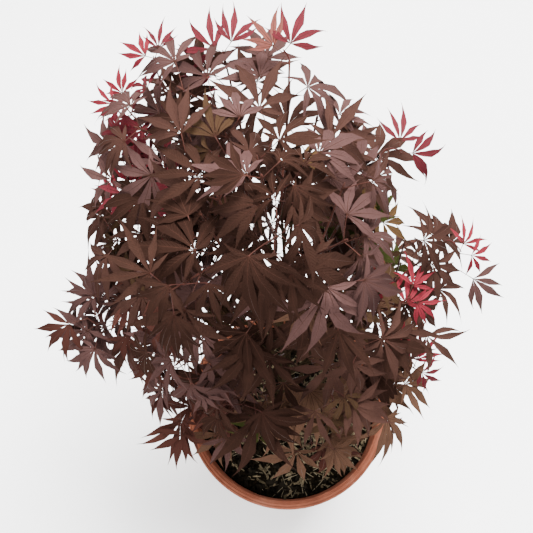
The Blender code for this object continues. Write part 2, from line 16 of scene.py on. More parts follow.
import bmesh
import bpy
import numpy as np
from mathutils.bvhtree import BVHTree
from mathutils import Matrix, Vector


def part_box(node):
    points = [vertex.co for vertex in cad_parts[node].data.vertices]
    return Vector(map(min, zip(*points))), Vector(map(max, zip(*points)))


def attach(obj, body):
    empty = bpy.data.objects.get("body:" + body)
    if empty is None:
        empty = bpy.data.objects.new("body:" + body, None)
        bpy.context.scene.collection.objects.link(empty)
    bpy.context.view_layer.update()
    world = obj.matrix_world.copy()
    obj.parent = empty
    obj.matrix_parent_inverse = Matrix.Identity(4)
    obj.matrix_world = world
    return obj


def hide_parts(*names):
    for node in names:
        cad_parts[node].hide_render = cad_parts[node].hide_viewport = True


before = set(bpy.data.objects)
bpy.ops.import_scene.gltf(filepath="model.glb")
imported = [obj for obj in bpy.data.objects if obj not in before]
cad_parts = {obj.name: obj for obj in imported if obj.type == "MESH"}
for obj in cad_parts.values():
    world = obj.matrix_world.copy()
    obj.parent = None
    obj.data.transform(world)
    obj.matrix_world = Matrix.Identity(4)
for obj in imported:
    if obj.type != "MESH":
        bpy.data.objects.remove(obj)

LOG = logging.getLogger("potted_maple")
BODY = "root"
FIT_GAP = 0.0003
STEEP = 0.8
SQUARE = ((-1, -1), (1, -1), (1, 1), (-1, 1))

Array = np.ndarray
Span = tuple[float, float]
Triple = tuple[float, float, float]
Colour = Triple
Draws = np.random.Generator
Socket = bpy.types.NodeSocket
Material = bpy.types.Material
Feed = Union[Socket, float, Sequence[float]]


class Slot(Enum):
    """Material slots of the finishes."""

    TERRACOTTA = "terracotta"
    COMPOST = "compost"
    BARK = "bark"
    RED_LEAVES = "red_leaves"


class Tint(Enum):
    """Plain base colours of the leaves, dealt out by spray. The darkest maroon is the maroon
    darkened as painted shade, and the mauve is a paler, pinker maroon as painted light and
    sheen.
    """

    MAROON = (0.0272, 0.0128, 0.0098)
    # Painted shade: the maroon darkened to about half, dealt where the crown lies in shade and
    # among the strays at random.
    DARK_MAROON = (0.0150, 0.0069, 0.0049)
    # Painted light and sheen: a paler, pinker maroon, dealt where the crown lies in the light
    # and among the strays at random.
    MAUVE = (0.0422, 0.0214, 0.0194)
    RED_BROWN = (0.0374, 0.0138, 0.0106)
    OLIVE_BROWN = (0.0262, 0.0144, 0.0078)
    OLIVE_GREEN = (0.0180, 0.0205, 0.0054)
    GOLD_BROWN = (0.0590, 0.0330, 0.0145)
    TAN_BROWN = (0.0510, 0.0262, 0.0165)
    WINE = (0.0640, 0.0105, 0.0140)
    CRIMSON = (0.1100, 0.0115, 0.0175)
    SALMON = (0.0900, 0.0290, 0.0225)


(MAROON, DARK_MAROON, MAUVE, RED_BROWN, OLIVE_BROWN, OLIVE_GREEN, GOLD_BROWN, TAN_BROWN, WINE,
 CRIMSON, SALMON) = Tint
YOUNG_TINTS = (WINE, CRIMSON)
STRAY_TINTS = (MAROON, MAUVE, DARK_MAROON)


class Limb(NamedTuple):
    """A limb forks off the trunk at a height, and its last leaves open at a bearing in
    degrees, a reach from the pot's axis and a height. Then come how many nodes of its stem
    bear twigs, at most, and the tints of the leaves at its tip, along it and inside it."""

    name: str
    fork: float
    bearing: float
    reach: float
    tip: float
    twigs: int
    young: Tint
    grown: Tint
    inner: Tint


class Shoot(NamedTuple):
    """A young shoot that carries a stem on: the place of its end against the stem's tip, the
    size of its leaves in shares of the usual and the number of their pairs. The stalks are
    shorter by a share too, the blades are turned up to the light by some degrees, and each
    pair stands a step of the shoot below the last, turned round it. The second leaf of a pair
    may have a tint of its own."""

    offset: Triple
    size: float
    pairs: int = 1
    stalk: float = 0.55
    lift: float = 30.0
    pair_step: float = 0.50
    pair_turn: float = 75.0
    second: Tint | None = None


class Run(NamedTuple):
    """A run of points with the thickness at each."""

    points: Sequence[Array]
    radii: Sequence[float]


class Leaf(NamedTuple):
    """A leaf: where its blade opens, its three axes, where its stalk starts, its length."""

    hub: Array
    axes: tuple[Array, Array, Array]
    root: Array
    length: float


class Body(NamedTuple):
    """Search tree of a shape with the ball that holds it."""

    tree: BVHTree
    centre: Array
    radius: float


class Site(NamedTuple):
    """A node that bears a pair of leaves."""

    point: Array
    axis: Array
    roll: float
    scale: float


@dataclass
class Mass:
    """One mass of foliage, with what goes beyond the solid kept apart."""

    limb: Limb
    stem: Run
    twigs: list[Run]
    leaves: list[Leaf] = field(default_factory=list)
    fine_twigs: list[Run] = field(default_factory=list)
    fine_leaves: list[Leaf] = field(default_factory=list)

    @property
    def node(self) -> str:
        """Name of the solid that it grows from."""
        return f"foliage_{self.limb.name}"


def unit(vectors: Array) -> Array:
    """The same directions at length one."""
    return vectors / np.linalg.norm(vectors, axis=-1, keepdims=True)


def flat(vector: Array) -> Array:
    """The part of a direction that lies level."""
    return np.array((vector[0], vector[1], 0.0))


def up(length: float) -> Array:
    """A rise of a length."""
    return np.array((0.0, 0.0, length))


def turned(heading: Array, angle: float) -> Array:
    """A level direction turned about the vertical by an angle."""
    cos, sin = math.cos(angle), math.sin(angle)
    return np.array((heading[0] * cos - heading[1] * sin,
                     heading[0] * sin + heading[1] * cos, 0.0))


def ray(angle: Array) -> Array:
    """Directions in plan at some angles."""
    return np.stack([np.cos(angle), np.sin(angle)], -1)


def left_of(heading: Array) -> Array:
    """Directions in plan a quarter turn further round."""
    return np.stack([-heading[..., 1], heading[..., 0]], -1)


def bezier(share: Array | float, *points: Array) -> Array:
    """The curve that its first and last points end and the others pull towards them: the sum
    of each point by its binomial share, n over k times t ** k times (1 - t) ** (n - k)."""
    last = len(points) - 1
    return sum(math.comb(last, k) * share ** k * (1 - share) ** (last - k) * point
               for k, point in enumerate(points))


def path_length(points: Sequence[Array]) -> float:
    """Length of a run of points."""
    return sum(np.linalg.norm(b - a) for a, b in zip(points, points[1:]))


def taper(first: float, last: float, count: int) -> list[float]:
    """Radii that change evenly from one end to the other."""
    return list(np.linspace(first, last, count))


@dataclass(frozen=True)
class PotForm:
    """Sizes of the flowerpot and of the compost in it."""

    height: float = 0.250
    rim_radius: float = 0.140
    lip_width: float = 0.0115
    lip_round: float = 0.0028
    collar_depth: float = 0.034
    collar_taper: float = 0.0025
    collar_step: float = 0.0065
    base_radius: float = 0.095
    base_round: float = 0.003
    wall: float = 0.009
    floor: float = 0.014
    drain_holes: int = 4
    drain_radius: float = 0.006
    drain_ring: float = 0.055
    soil_top: float = 0.2305
    soil_edge: float = 0.2270
    soil_level_radius: float = 0.036

    def inner_radius(self, height: float) -> float:
        """Radius of the inner wall at a height: one straight taper."""
        top = self.rim_radius - self.lip_width
        foot = self.base_radius - self.wall
        return foot + (top - foot) * (height - self.floor) / (self.height - self.floor)

    @property
    def bed_radius(self) -> float:
        """Radius of the compost where its surface meets the wall."""
        return self.inner_radius(self.soil_edge)


@dataclass(frozen=True)
class TrunkForm:
    """Line and thickness of the trunk: upright at the soil, then an even curve of lean."""

    pot: PotForm
    foot_y: float = -0.018
    top: float = 0.680
    lean_left: float = 0.022
    lean_back: float = 0.070
    left_power: float = 1.4
    back_power: float = 1.25
    straight: float = 0.008
    foot_radius: float = 0.0056
    tip_radius: float = 0.0023
    flare_radius: float = 0.0042
    flare_height: float = 0.010
    rings: int = 18
    ring_power: float = 1.8

    @property
    def foot(self) -> float:
        """Height of the trunk's cut foot on the soil."""
        return self.pot.soil_top + FIT_GAP

    def axis(self, height: float) -> Array:
        """Centre of the trunk at a height.

        Args:
            height: The height.

        Returns:
            The centre.
        """
        start = self.foot + self.straight
        share = max(0.0, (height - start) / (self.top - start))
        back = self.foot_y + self.lean_back * share ** self.back_power
        return np.array((-self.lean_left * share ** self.left_power, back, height))

    def radius(self, height: float) -> float:
        """Even taper to the tip, with the root flare added close to the soil."""
        share = (height - self.foot) / (self.top - self.foot)
        even = self.foot_radius + (self.tip_radius - self.foot_radius) * share
        return even + self.flare_radius * math.exp(-(height - self.foot) / self.flare_height)

    def run(self) -> Run:
        """The trunk's points and radii, closest together in the root flare.

        Returns:
            The trunk.
        """
        shares = np.linspace(0.0, 1.0, self.rings) ** self.ring_power
        shares[1] = self.straight / (self.top - self.foot)
        heights = [self.foot + share * (self.top - self.foot) for share in sorted(shares)]
        return Run([self.axis(h) for h in heights], [self.radius(h) for h in heights])


@dataclass(frozen=True)
class LimbForm:
    """Line and thickness of every limb: its bough first and then the stem of its mass."""

    trunk: TrunkForm
    share: float = 0.50
    to_trunk: float = 0.60
    min_radius: float = 0.0019
    tip_radius: float = 0.0014
    rings: int = 6
    arch_out: float = 0.36
    arch_up: float = 0.62
    sway: float = 0.005
    sway_turns: float = 1.3
    stem_radii: Span = (0.0022, 0.0017)
    internode: float = 0.031
    nodes: tuple[int, int] = (3, 6)
    measured: int = 9

    def tip(self, limb: Limb) -> Array:
        """Point where the last pair of leaves of a limb opens."""
        bearing = math.radians(limb.bearing)
        return np.array((limb.reach * math.cos(bearing), limb.reach * math.sin(bearing),
                         limb.tip))

    def point(self, limb: Limb, share: float) -> Array:
        """Point on a limb: an arch from the fork that rises first and then spreads, with a
        slow sway to the side.

        Args:
            limb: The limb.
            share: Share of its whole length from the fork.

        Returns:
            The point.
        """
        start, end = self.trunk.axis(limb.fork), self.tip(limb)
        spread = flat(end - start)
        bend = start + self.arch_out * spread + self.arch_up * up(end[2] - start[2])
        aside = unit(np.cross(spread, (0.0, 0.0, 1.0)))
        turn = math.sin(self.sway_turns * math.tau * share)
        return bezier(share, start, bend, end) + aside * self.sway * turn * (1 - share)

    def points(self, limb: Limb, first: float, last: float, count: int) -> list[Array]:
        """Evenly shared points on a limb between two shares of it."""
        return [self.point(limb, share) for share in np.linspace(first, last, count)]

    def bough(self, limb: Limb, rings: int | None = None) -> Run:
        """Points and radii of a limb's bough.

        Args:
            limb: The limb.
            rings: Number of points, where it isn't the usual one.

        Returns:
            The bough, which is thinner than the trunk where it leaves it.
        """
        rings = rings or self.rings
        root = max(self.min_radius, self.to_trunk * self.trunk.radius(limb.fork))
        points = self.points(limb, 0.0, self.share, rings)
        return Run(points, taper(root, self.tip_radius, rings))

    def stem(self, limb: Limb) -> Run:
        """Points and radii of the stem of a limb's mass.

        Args:
            limb: The limb.

        Returns:
            The stem, with one point at each node.
        """
        share = 0.0 if limb is LEADER else self.share
        gap = FIT_GAP / path_length(self.points(limb, 0.0, 1.0, self.measured))
        run = path_length(self.points(limb, share, 1.0, self.measured))
        count = min(self.nodes[1], max(self.nodes[0], round(run / self.internode)))
        points = self.points(limb, share + gap, 1.0, count + 1)
        return Run(points, taper(*self.stem_radii, count + 1))


# The grown and inner tints also paint light and shade by place: mauve and tan brown on masses
# that are to look lit, the darkest maroon as painted shade on the middle and the low back of
# the crown.
LIMBS = (
    Limb("front_low", 0.288, 333, 0.041, 0.370, 2, TAN_BROWN, TAN_BROWN, RED_BROWN),
    Limb("front_low_left", 0.302, 186, 0.066, 0.440, 2, RED_BROWN, RED_BROWN, TAN_BROWN),
    Limb("right_low", 0.316, 9, 0.117, 0.480, 2, CRIMSON, TAN_BROWN, TAN_BROWN),
    Limb("left_front_low", 0.330, 174, 0.152, 0.480, 2, RED_BROWN, RED_BROWN, RED_BROWN),
    Limb("back_low_right", 0.344, 56, 0.165, 0.485, 3, OLIVE_BROWN, MAROON, OLIVE_GREEN),
    Limb("back_low_left", 0.358, 126, 0.185, 0.500, 3, MAROON, MAROON, OLIVE_BROWN),
    Limb("front_centre_low", 0.372, 299, 0.020, 0.500, 2, TAN_BROWN, TAN_BROWN, OLIVE_GREEN),
    Limb("left_low", 0.386, 161, 0.227, 0.530, 3, MAUVE, MAUVE, RED_BROWN),
    Limb("back_low", 0.400, 92, 0.215, 0.560, 3, GOLD_BROWN, DARK_MAROON, DARK_MAROON),
    Limb("right_mid", 0.414, 33, 0.190, 0.600, 3, CRIMSON, MAROON, MAUVE),
    Limb("left_mid", 0.428, 139, 0.234, 0.600, 3, CRIMSON, MAROON, OLIVE_BROWN),
    Limb("front_centre_right", 0.442, 347, 0.065, 0.540, 2, MAROON, MAROON, OLIVE_BROWN),
    Limb("front_centre_left", 0.456, 193, 0.060, 0.560, 2, MAROON, DARK_MAROON, DARK_MAROON),
    Limb("right_back", 0.470, 57, 0.147, 0.610, 2, GOLD_BROWN, MAROON, OLIVE_GREEN),
    Limb("front_left", 0.484, 174, 0.125, 0.620, 2, RED_BROWN, MAUVE, MAUVE),
    Limb("front_right", 0.498, 16, 0.095, 0.605, 2, CRIMSON, MAROON, OLIVE_BROWN),
    Limb("left_high", 0.512, 127, 0.268, 0.655, 3, CRIMSON, MAUVE, WINE),
    Limb("right_back_high", 0.526, 63, 0.197, 0.662, 0, WINE, MAUVE, GOLD_BROWN),
    Limb("left_back_high", 0.542, 120, 0.259, 0.695, 3, CRIMSON, MAUVE, WINE),
    Limb("front_mid", 0.556, 207, 0.008, 0.670, 2, DARK_MAROON, DARK_MAROON, DARK_MAROON),
    Limb("back_left_high", 0.572, 106, 0.249, 0.725, 1, WINE, MAUVE, MAUVE),
    Limb("back_high", 0.588, 92, 0.218, 0.755, 0, SALMON, MAUVE, MAUVE),
    Limb("back_right", 0.602, 84, 0.174, 0.730, 2, MAUVE, MAROON, TAN_BROWN),
    Limb("centre_left", 0.616, 155, 0.101, 0.755, 2, DARK_MAROON, DARK_MAROON, DARK_MAROON),
    Limb("centre_right", 0.630, 48, 0.058, 0.745, 2, MAUVE, MAUVE, TAN_BROWN),
    Limb("back_mid", 0.644, 115, 0.152, 0.760, 2, MAUVE, MAROON, OLIVE_BROWN),
)
# Painted shade: the leaves of the crown's top take the darkest maroon.
LEADER = Limb("crown_top", TrunkForm.top, 114, 0.080, 0.805, 2, DARK_MAROON, DARK_MAROON,
              DARK_MAROON)
SHOOTS = {
    "left_low": Shoot((0.002, -0.034, -0.004), 1.55, stalk=0.9),
    "left_high": Shoot((-0.018, 0.018, 0.010), 0.86, 2),
    "left_back_high": Shoot((-0.010, 0.026, 0.024), 0.80, second=WINE),
    "back_left_high": Shoot((-0.002, 0.006, 0.010), 1.00),
    "back_high": Shoot((-0.006, 0.006, 0.010), 1.00, second=WINE),
    "right_back_high": Shoot((0.018, -0.002, 0.006), 0.95),
    "right_mid": Shoot((0.014, -0.014, 0.006), 0.86),
    "front_right": Shoot((0.024, 0.010, 0.014), 0.86, 2),
    "right_low": Shoot((0.024, -0.022, 0.012), 0.90, 2, second=WINE),
    "left_mid": Shoot((0.004, -0.006, 0.030), 0.80),
}


@dataclass(frozen=True)
class LeafForm:
    """Shape of a leaf as the growing rule tries it for a free place. Angles, reaches and
    notches run from the middle lobe outward, in degrees and in shares of the length."""

    angles: tuple[float, ...] = (0.0, 38.0, 78.0, 122.0)
    reaches: tuple[float, ...] = (1.0, 0.95, 0.75, 0.38)
    notches: tuple[float, ...] = (0.38, 0.35, 0.22)
    hub_shift: float = 0.013
    length: Span = (0.049, 0.066)
    small: float = 0.046
    thickness: float = 0.018
    hang: float = 0.16
    stalk_half_width: float = 0.0008
    stalk_taper: float = 0.50
    room: float = 0.0012
    thickness_room: float = 0.0010
    root_room: float = 0.0075

    def outline(self, length: float, lobes: int) -> list[Span]:
        """Points round a blade in its own plane: the tip of each lobe and the notch by it.

        Args:
            length: Length of the blade.
            lobes: Number of its lobes.

        Returns:
            The points, from the right of the stalk round to its left.
        """
        right = [(-self.hub_shift * length, -self.stalk_half_width)]
        for index in range(lobes // 2, 0, -1):
            between = (self.angles[index] + self.angles[index - 1]) / 2
            for degrees, share in ((self.angles[index], self.reaches[index]),
                                   (between, self.notches[index - 1])):
                angle, reach = math.radians(-degrees), share * length
                right.append((reach * math.cos(angle), reach * math.sin(angle)))
        return right + [(length, 0.0)] + [(x, -y) for x, y in reversed(right)]

    def trial(self, leaf: Leaf, share: float = 1.0) -> tuple[list[Array], list]:
        """A leaf with room kept round it, its stalk tapering to near the twig.

        Args:
            leaf: The leaf.
            share: How much of the usual room it keeps.

        Returns:
            Vertices and faces.
        """
        length = leaf.length + self.room * share
        half = self.thickness * leaf.length / 2 + self.thickness_room * share / 2
        lobes = 7 if leaf.length > self.small else 5
        along, across, upward = leaf.axes
        local = [(self.hub_shift * length, 0.0, half), (self.hub_shift * length, 0.0, -half)]
        local += [(x, y, -self.hang * (x * x + y * y) / length)
                  for x, y in self.outline(length, lobes)]
        vertices = [leaf.hub + x * along + y * across + z * upward for x, y, z in local]
        top, bottom, first, last = 0, 1, 2, len(vertices) - 1
        faces = [(top, i, i + 1) for i in range(first, last)]
        faces += [(bottom, i + 1, i) for i in range(first, last)]
        section = [vertices[last], vertices[first], vertices[bottom]]
        middle = sum(section) / 3
        start = leaf.root + self.root_room * unit(middle - leaf.root)
        vertices += [start + self.stalk_taper * (corner - middle) for corner in section]
        left, right, below = last + 1, last + 2, last + 3
        faces += [(top, last, first), (first, last, left, right), (last, bottom, below, left),
                  (bottom, first, right, below), (left, below, right)]
        return vertices, faces


def body_of(vertices: Sequence, faces: Sequence) -> Body:
    """Search tree of a shape with the ball that holds it.

    Args:
        vertices: Its points.
        faces: Its faces.

    Returns:
        The body.
    """
    points = np.array(vertices)
    centre = points.mean(axis=0)
    radius = float(np.linalg.norm(points - centre, axis=1).max())
    return Body(BVHTree.FromPolygons([tuple(p) for p in points], faces), centre, radius)


def sleeve(run: Run, room: float) -> tuple[list[Array], list]:
    """A loose square sleeve round each stretch of a run.

    Args:
        run: The run.
        room: Space between the run and its sleeve.

    Returns:
        Vertices and faces.
    """
    vertices: list[Array] = []
    faces: list[tuple[int, ...]] = []
    for a, b, r_a, r_b in zip(run.points, run.points[1:], run.radii, run.radii[1:]):
        along = unit(b - a)
        side = unit(np.cross(along, (1.0, 0.0, 0.0) if abs(along[2]) > STEEP
                             else (0.0, 0.0, 1.0)))
        over = np.cross(side, along)
        base = len(vertices)
        for centre, radius in ((a, r_a + room), (b, r_b + room)):
            vertices += [centre + radius * (x * side + y * over) for x, y in SQUARE]
        faces += [(base + i, base + (i + 1) % 4, base + 4 + (i + 1) % 4, base + 4 + i)
                  for i in range(4)]
    return vertices, faces


def is_clear(body: Body, others: Iterable[Body]) -> bool:
    """True where a shape crosses none of the others."""
    near = (other for other in others if
            np.linalg.norm(body.centre - other.centre) <= body.radius + other.radius)
    return not any(body.tree.overlap(other.tree) for other in near)


def node_side(axis: Array, roll: float) -> Array:
    """Direction across a twig, level at roll zero."""
    level = unit(np.cross(axis, (0.0, 0.0, 1.0)) + np.array((1e-6, 0.0, 0.0)))
    return math.cos(roll) * level + math.sin(roll) * np.cross(level, axis)


def blade_axes(heading: Array, droop: float, roll: float) -> tuple[Array, Array, Array]:
    """Axes of a blade.

    Args:
        heading: Level direction that it points along.
        droop: Angle that it hangs by.
        roll: Angle that it leans to its side by.

    Returns:
        The directions along it, across it and square to it.
    """
    along = heading * math.cos(droop) - up(math.sin(droop))
    across = np.cross((0.0, 0.0, 1.0), heading)
    upward = np.cross(along, across)
    return (along, across * math.cos(roll) + upward * math.sin(roll),
            upward * math.cos(roll) - across * math.sin(roll))


def distance_to_stem(point: Array, stem: Run) -> float:
    """Shortest distance from a point to a stem.

    Args:
        point: The point.
        stem: The stem.

    Returns:
        The distance.
    """
    best = math.inf
    for a, b in zip(stem.points, stem.points[1:]):
        share = np.dot(point - a, b - a) / np.dot(b - a, b - a)
        foot = a + min(1.0, max(0.0, share)) * (b - a)
        best = min(best, float(np.linalg.norm(point - foot)))
    return best


@dataclass
class Growth:
    """The growing rule of the crown: opposite pairs of twigs and leaves on every stem, then
    finer twigs and smaller leaves wherever there is room left within the same reach. A way
    tells how far a thing goes forward, to its side and upward."""

    trunk: TrunkForm
    limbs: LimbForm
    leaf: LeafForm
    limb_room: float = 0.0006
    space_overlap: float = 0.018
    soil_room: float = 0.005
    rim_sleeve: float = 0.0090
    rim_steps: int = 24
    twig_radii: Span = (0.0018, 0.0016)
    twig_length: Span = (0.050, 0.078)
    twig_way: Triple = (0.62, 0.78, 0.10)
    node_roll: float = 22.0
    back_node_roll: float = 0.9
    shoot_scale: float = 0.62
    twig_scale: float = 0.85
    stalk_length: Span = (0.026, 0.040)
    stalk_before_node: float = 0.003
    stalk_way: Triple = (0.50, 0.85, 0.28)
    stalk_jitter: float = 0.14
    blade_outward: float = 0.8
    blade_turn: float = 24.0
    blade_droop: Span = (10.0, 42.0)
    blade_roll: float = 14.0
    blade_middle: float = 0.4
    light_lift: float = 34.0
    light_lean: float = 16.0
    tries: int = 12
    fine_room: float = 0.2
    fine_reach: float = 0.006
    fine_length: Span = (0.012, 0.032)
    fine_radii: Span = (0.0009, 0.0007)
    fine_scale: Span = (0.55, 0.90)
    fine_way: Triple = (0.45, 0.80, 0.35)
    fine_start: Span = (0.004, 0.3)
    fine_before_node: float = 0.001
    twig_sites: Span = (0.28, 0.78)
    bough_sites: tuple[float, ...] = (0.60, 0.72, 0.84, 0.94)
    ahead: float = 0.05
    fuller: tuple[str, ...] = ("front_left", "front_centre_left", "front_low_left",
                               "left_front_low", "back_low_left", "front_mid")
    bare: tuple[str, ...] = ("right_mid", "back_right")
    bodies: list[Body] = field(default_factory=list)
    stems: list[Run] = field(default_factory=list)

    def fixed_bodies(self) -> list[Body]:
        """What twigs and leaves keep clear of.

        Returns:
            The soil, the rim, the trunk, the boughs and every stem.
        """
        pot = self.trunk.pot
        level = pot.soil_top + self.soil_room
        soil = [(x * pot.rim_radius, y * pot.rim_radius, level) for x, y in SQUARE]
        bodies = [body_of(soil, [(0, 1, 2, 3)])]
        middle = pot.rim_radius - pot.lip_width / 2
        turns = [math.tau * step / self.rim_steps for step in range(self.rim_steps + 1)]
        for height in (pot.height - self.rim_sleeve / 2, pot.soil_top):
            ring = [np.array((middle * math.cos(a), middle * math.sin(a), height))
                    for a in turns]
            bodies.append(body_of(*sleeve(Run(ring, [self.rim_sleeve] * len(ring)), 0.0)))
        runs = [self.trunk.run(), *(self.limbs.bough(limb) for limb in LIMBS), *self.stems]
        return bodies + [body_of(*sleeve(run, self.limb_room)) for run in runs]

    def in_own_space(self, point: Array, own: Run) -> bool:
        """True in the part of the crown that is nearest to its own stem."""
        reach = distance_to_stem(point, own) - self.space_overlap
        return all(reach < distance_to_stem(point, stem)
                   for stem in self.stems if stem is not own)

    def draw_leaf(self, rng: random.Random, site: Site, side: Array) -> Leaf:
        """One leaf drawn at random, its blade turned outward, lifted where it points to the
        back and leaning forward where it points to a side.

        Args:
            rng: Source of the draws.
            site: Node that bears it.
            side: Side of the node that it stands on.

        Returns:
            The leaf.
        """
        jitter = np.array([rng.uniform(-self.stalk_jitter, self.stalk_jitter)
                           for _ in range(3)])
        forward, sideways, rise = self.stalk_way
        stalk = unit(forward * site.axis + sideways * side + jitter + up(rise))
        hub = site.point + stalk * rng.uniform(*self.stalk_length) * site.scale
        outward = flat(hub - self.trunk.axis(min(hub[2], self.trunk.top)))
        heading = unit(unit(flat(stalk)) + self.blade_outward * unit(outward))
        heading = turned(heading, math.radians(rng.uniform(-self.blade_turn, self.blade_turn)))
        droop = rng.uniform(*self.blade_droop) - self.light_lift * max(0.0, heading[1])
        roll = rng.uniform(-self.blade_roll, self.blade_roll) + self.light_lean * heading[0]
        length = rng.uniform(*self.leaf.length) * site.scale
        axes = blade_axes(heading, math.radians(droop), math.radians(roll))
        return Leaf(hub, axes, site.point, length)

    def grow_twigs(self, rng: random.Random, limb: Limb, stem: Run) -> list[Run]:
        """Opposite pairs of twigs at the lower nodes of a stem, where they stay clear.

        Args:
            rng: Source of the draws.
            limb: The limb.
            stem: Its stem.

        Returns:
            The twigs.
        """
        twigs, last = [], len(stem.points) - 2
        forward, sideways, rise = self.twig_way
        for node in range(max(1, last - limb.twigs), last):
            root = stem.points[node]
            axis = unit(stem.points[node + 1] - root)
            roll = math.radians(rng.uniform(-self.node_roll, self.node_roll)
                                + 90.0 * ((node + 1) % 2))
            for sign in (-1, 1):
                side = sign * node_side(axis, roll)
                heading = unit(forward * axis + sideways * side + up(rise))
                tip = root + heading * rng.uniform(*self.twig_length)
                trial = Run([root + heading * self.leaf.root_room, tip], self.twig_radii)
                body = body_of(*sleeve(trial, self.limb_room))
                if self.in_own_space(tip, stem) and is_clear(body, self.bodies):
                    twigs.append(Run([root, tip], self.twig_radii))
                    self.bodies.append(body)
        return twigs

    def leaf_sites(self, mass: Mass) -> list[Site]:
        """The tips of stem and twigs first, then the node below each.

        Args:
            mass: The mass.

        Returns:
            Its sites.
        """
        sites = []
        for back in (1, 2):
            for shoot in [mass.stem] + mass.twigs:
                before, node = shoot.points[-2:]
                if back == 2 and shoot is mass.stem:
                    before, node = shoot.points[-3:-1]
                elif back == 2:
                    node = (before + node) / 2
                axis = unit(node - before)
                young = self.shoot_scale if shoot is mass.stem else self.twig_scale
                sites.append(Site(node - self.stalk_before_node * axis, axis,
                                  self.back_node_roll * (back - 1),
                                  1.0 if back == 2 else young))
        return sites

    def grow_pair(self, rng: random.Random, site: Site, stem: Run, share: float = 1.0,
                  box: tuple[Array, Array] | None = None) -> list[Leaf]:
        """The pair of leaves of one site. A leaf is drawn again where its place is taken.

        Args:
            rng: Source of the draws.
            site: Node that bears the pair.
            stem: Stem of the mass that the site belongs to.
            share: How much of the usual room a leaf keeps round it.
            box: Corners that the leaves stay between, if there are any.

        Returns:
            The leaves that found a place.
        """
        pair = []
        roll = site.roll + math.radians(rng.uniform(-self.node_roll, self.node_roll))
        for sign in (-1, 1):
            side = sign * node_side(site.axis, roll)
            for _ in range(self.tries):
                leaf = self.draw_leaf(rng, site, side)
                middle = leaf.hub + self.blade_middle * leaf.length * leaf.axes[0]
                vertices, faces = self.leaf.trial(leaf, share)
                points = np.array(vertices)
                if box and not ((points > box[0]) & (points < box[1])).all():
                    continue
                body = body_of(points, faces)
                if self.in_own_space(middle, stem) and is_clear(body, self.bodies):
                    pair.append(leaf)
                    self.bodies.append(body)
                    break
        return pair

    def fine_sites(self, mass: Mass) -> list[tuple[Array, Array]]:
        """Places for finer twigs: the lower nodes of the stem and two points of each twig,
        and in the fuller masses a few points of the bough's outer part. The fuller masses use
        each place twice, and the bare ones none.

        Args:
            mass: The mass.

        Returns:
            Each place with the direction of what it is on.
        """
        if mass.limb.name in self.bare:
            return []
        points = mass.stem.points
        sites = [(points[i], unit(points[i + 1] - points[i]))
                 for i in range(1, len(points) - 1)]
        for root, tip in (twig.points for twig in mass.twigs):
            sites += [(root + share * (tip - root), unit(tip - root))
                      for share in self.twig_sites]
        if mass.limb.name in self.fuller:
            for share in self.bough_sites:
                point, ahead = (self.limbs.point(mass.limb, s * self.limbs.share)
                                for s in (share, share + self.ahead))
                sites.append((point, unit(ahead - point)))
            sites *= 2
        return sites

    def grow_fine(self, rng: random.Random, mass: Mass, point: Array, axis: Array) -> None:
        """A finer twig on either side of a place, kept where a leaf of its pair finds room
        within the reach of the mass's solid.

        Args:
            rng: Source of the draws.
            mass: The mass.
            point: The place.
            axis: Direction of what it is on.
        """
        low, high = (np.array(corner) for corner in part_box(mass.node))
        box = low - self.fine_reach, high + self.fine_reach
        roll = math.radians(rng.uniform(0.0, 180.0))
        forward, sideways, rise = self.fine_way
        for sign in (-1, 1):
            side = sign * node_side(axis, roll)
            heading = unit(forward * axis + sideways * side + up(rng.uniform(0.0, rise)))
            tip = point + heading * rng.uniform(*self.fine_length)
            most, share = self.fine_start
            start = point + heading * min(most, share * np.linalg.norm(tip - point))
            body = body_of(*sleeve(Run([start, tip], self.fine_radii), 0.0))
            if not is_clear(body, self.bodies):
                continue
            site = Site(tip - self.fine_before_node * heading, heading,
                        rng.uniform(0.0, math.pi), rng.uniform(*self.fine_scale))
            pair = self.grow_pair(rng, site, mass.stem, self.fine_room, box)
            if pair:
                self.bodies.append(body)
                mass.fine_twigs.append(Run([point, tip], self.fine_radii))
                mass.fine_leaves.extend(pair)

    def crown(self) -> list[Mass]:
        """Every mass of foliage. All twigs grow before the first leaf, and the masses take
        turns with their pairs of leaves. The finer growth comes last, in turns too.

        Returns:
            The masses.
        """
        limbs = LIMBS + (LEADER,)
        self.stems = [self.limbs.stem(limb) for limb in limbs]
        self.bodies = self.fixed_bodies()
        chances = [random.Random(limb.name) for limb in limbs]
        masses = [Mass(limb, stem, self.grow_twigs(rng, limb, stem))
                  for rng, limb, stem in zip(chances, limbs, self.stems)]
        for rng, mass, site in in_turns(chances, masses, map(self.leaf_sites, masses)):
            mass.leaves.extend(self.grow_pair(rng, site, mass.stem))
        for rng, mass, place in in_turns(chances, masses, map(self.fine_sites, masses)):
            self.grow_fine(rng, mass, *place)
        return masses


def in_turns(chances: Sequence[random.Random], masses: Sequence[Mass],
             places: Iterable[list]) -> Iterable[tuple]:
    """The places of all masses in turns: the first of each, then the second of each.

    Args:
        chances: Source of the draws of each mass.
        masses: The masses.
        places: List of places of each mass.

    Returns:
        One place at a time with its mass and the source of its draws.
    """
    rows = list(zip(chances, masses, places))
    for turn in range(max(len(own) for _, _, own in rows)):
        for rng, mass, own in rows:
            if turn < len(own):
                yield rng, mass, own[turn]


@dataclass
class Patch:
    """Faces of one kind with a pair of coordinates for each of their corners."""

    faces: Array
    chart: Array | None = None

    def __post_init__(self) -> None:
        """Chart every corner at zero where the finish reads no chart."""
        if self.chart is None:
            self.chart = np.zeros(self.faces.shape + (2,))


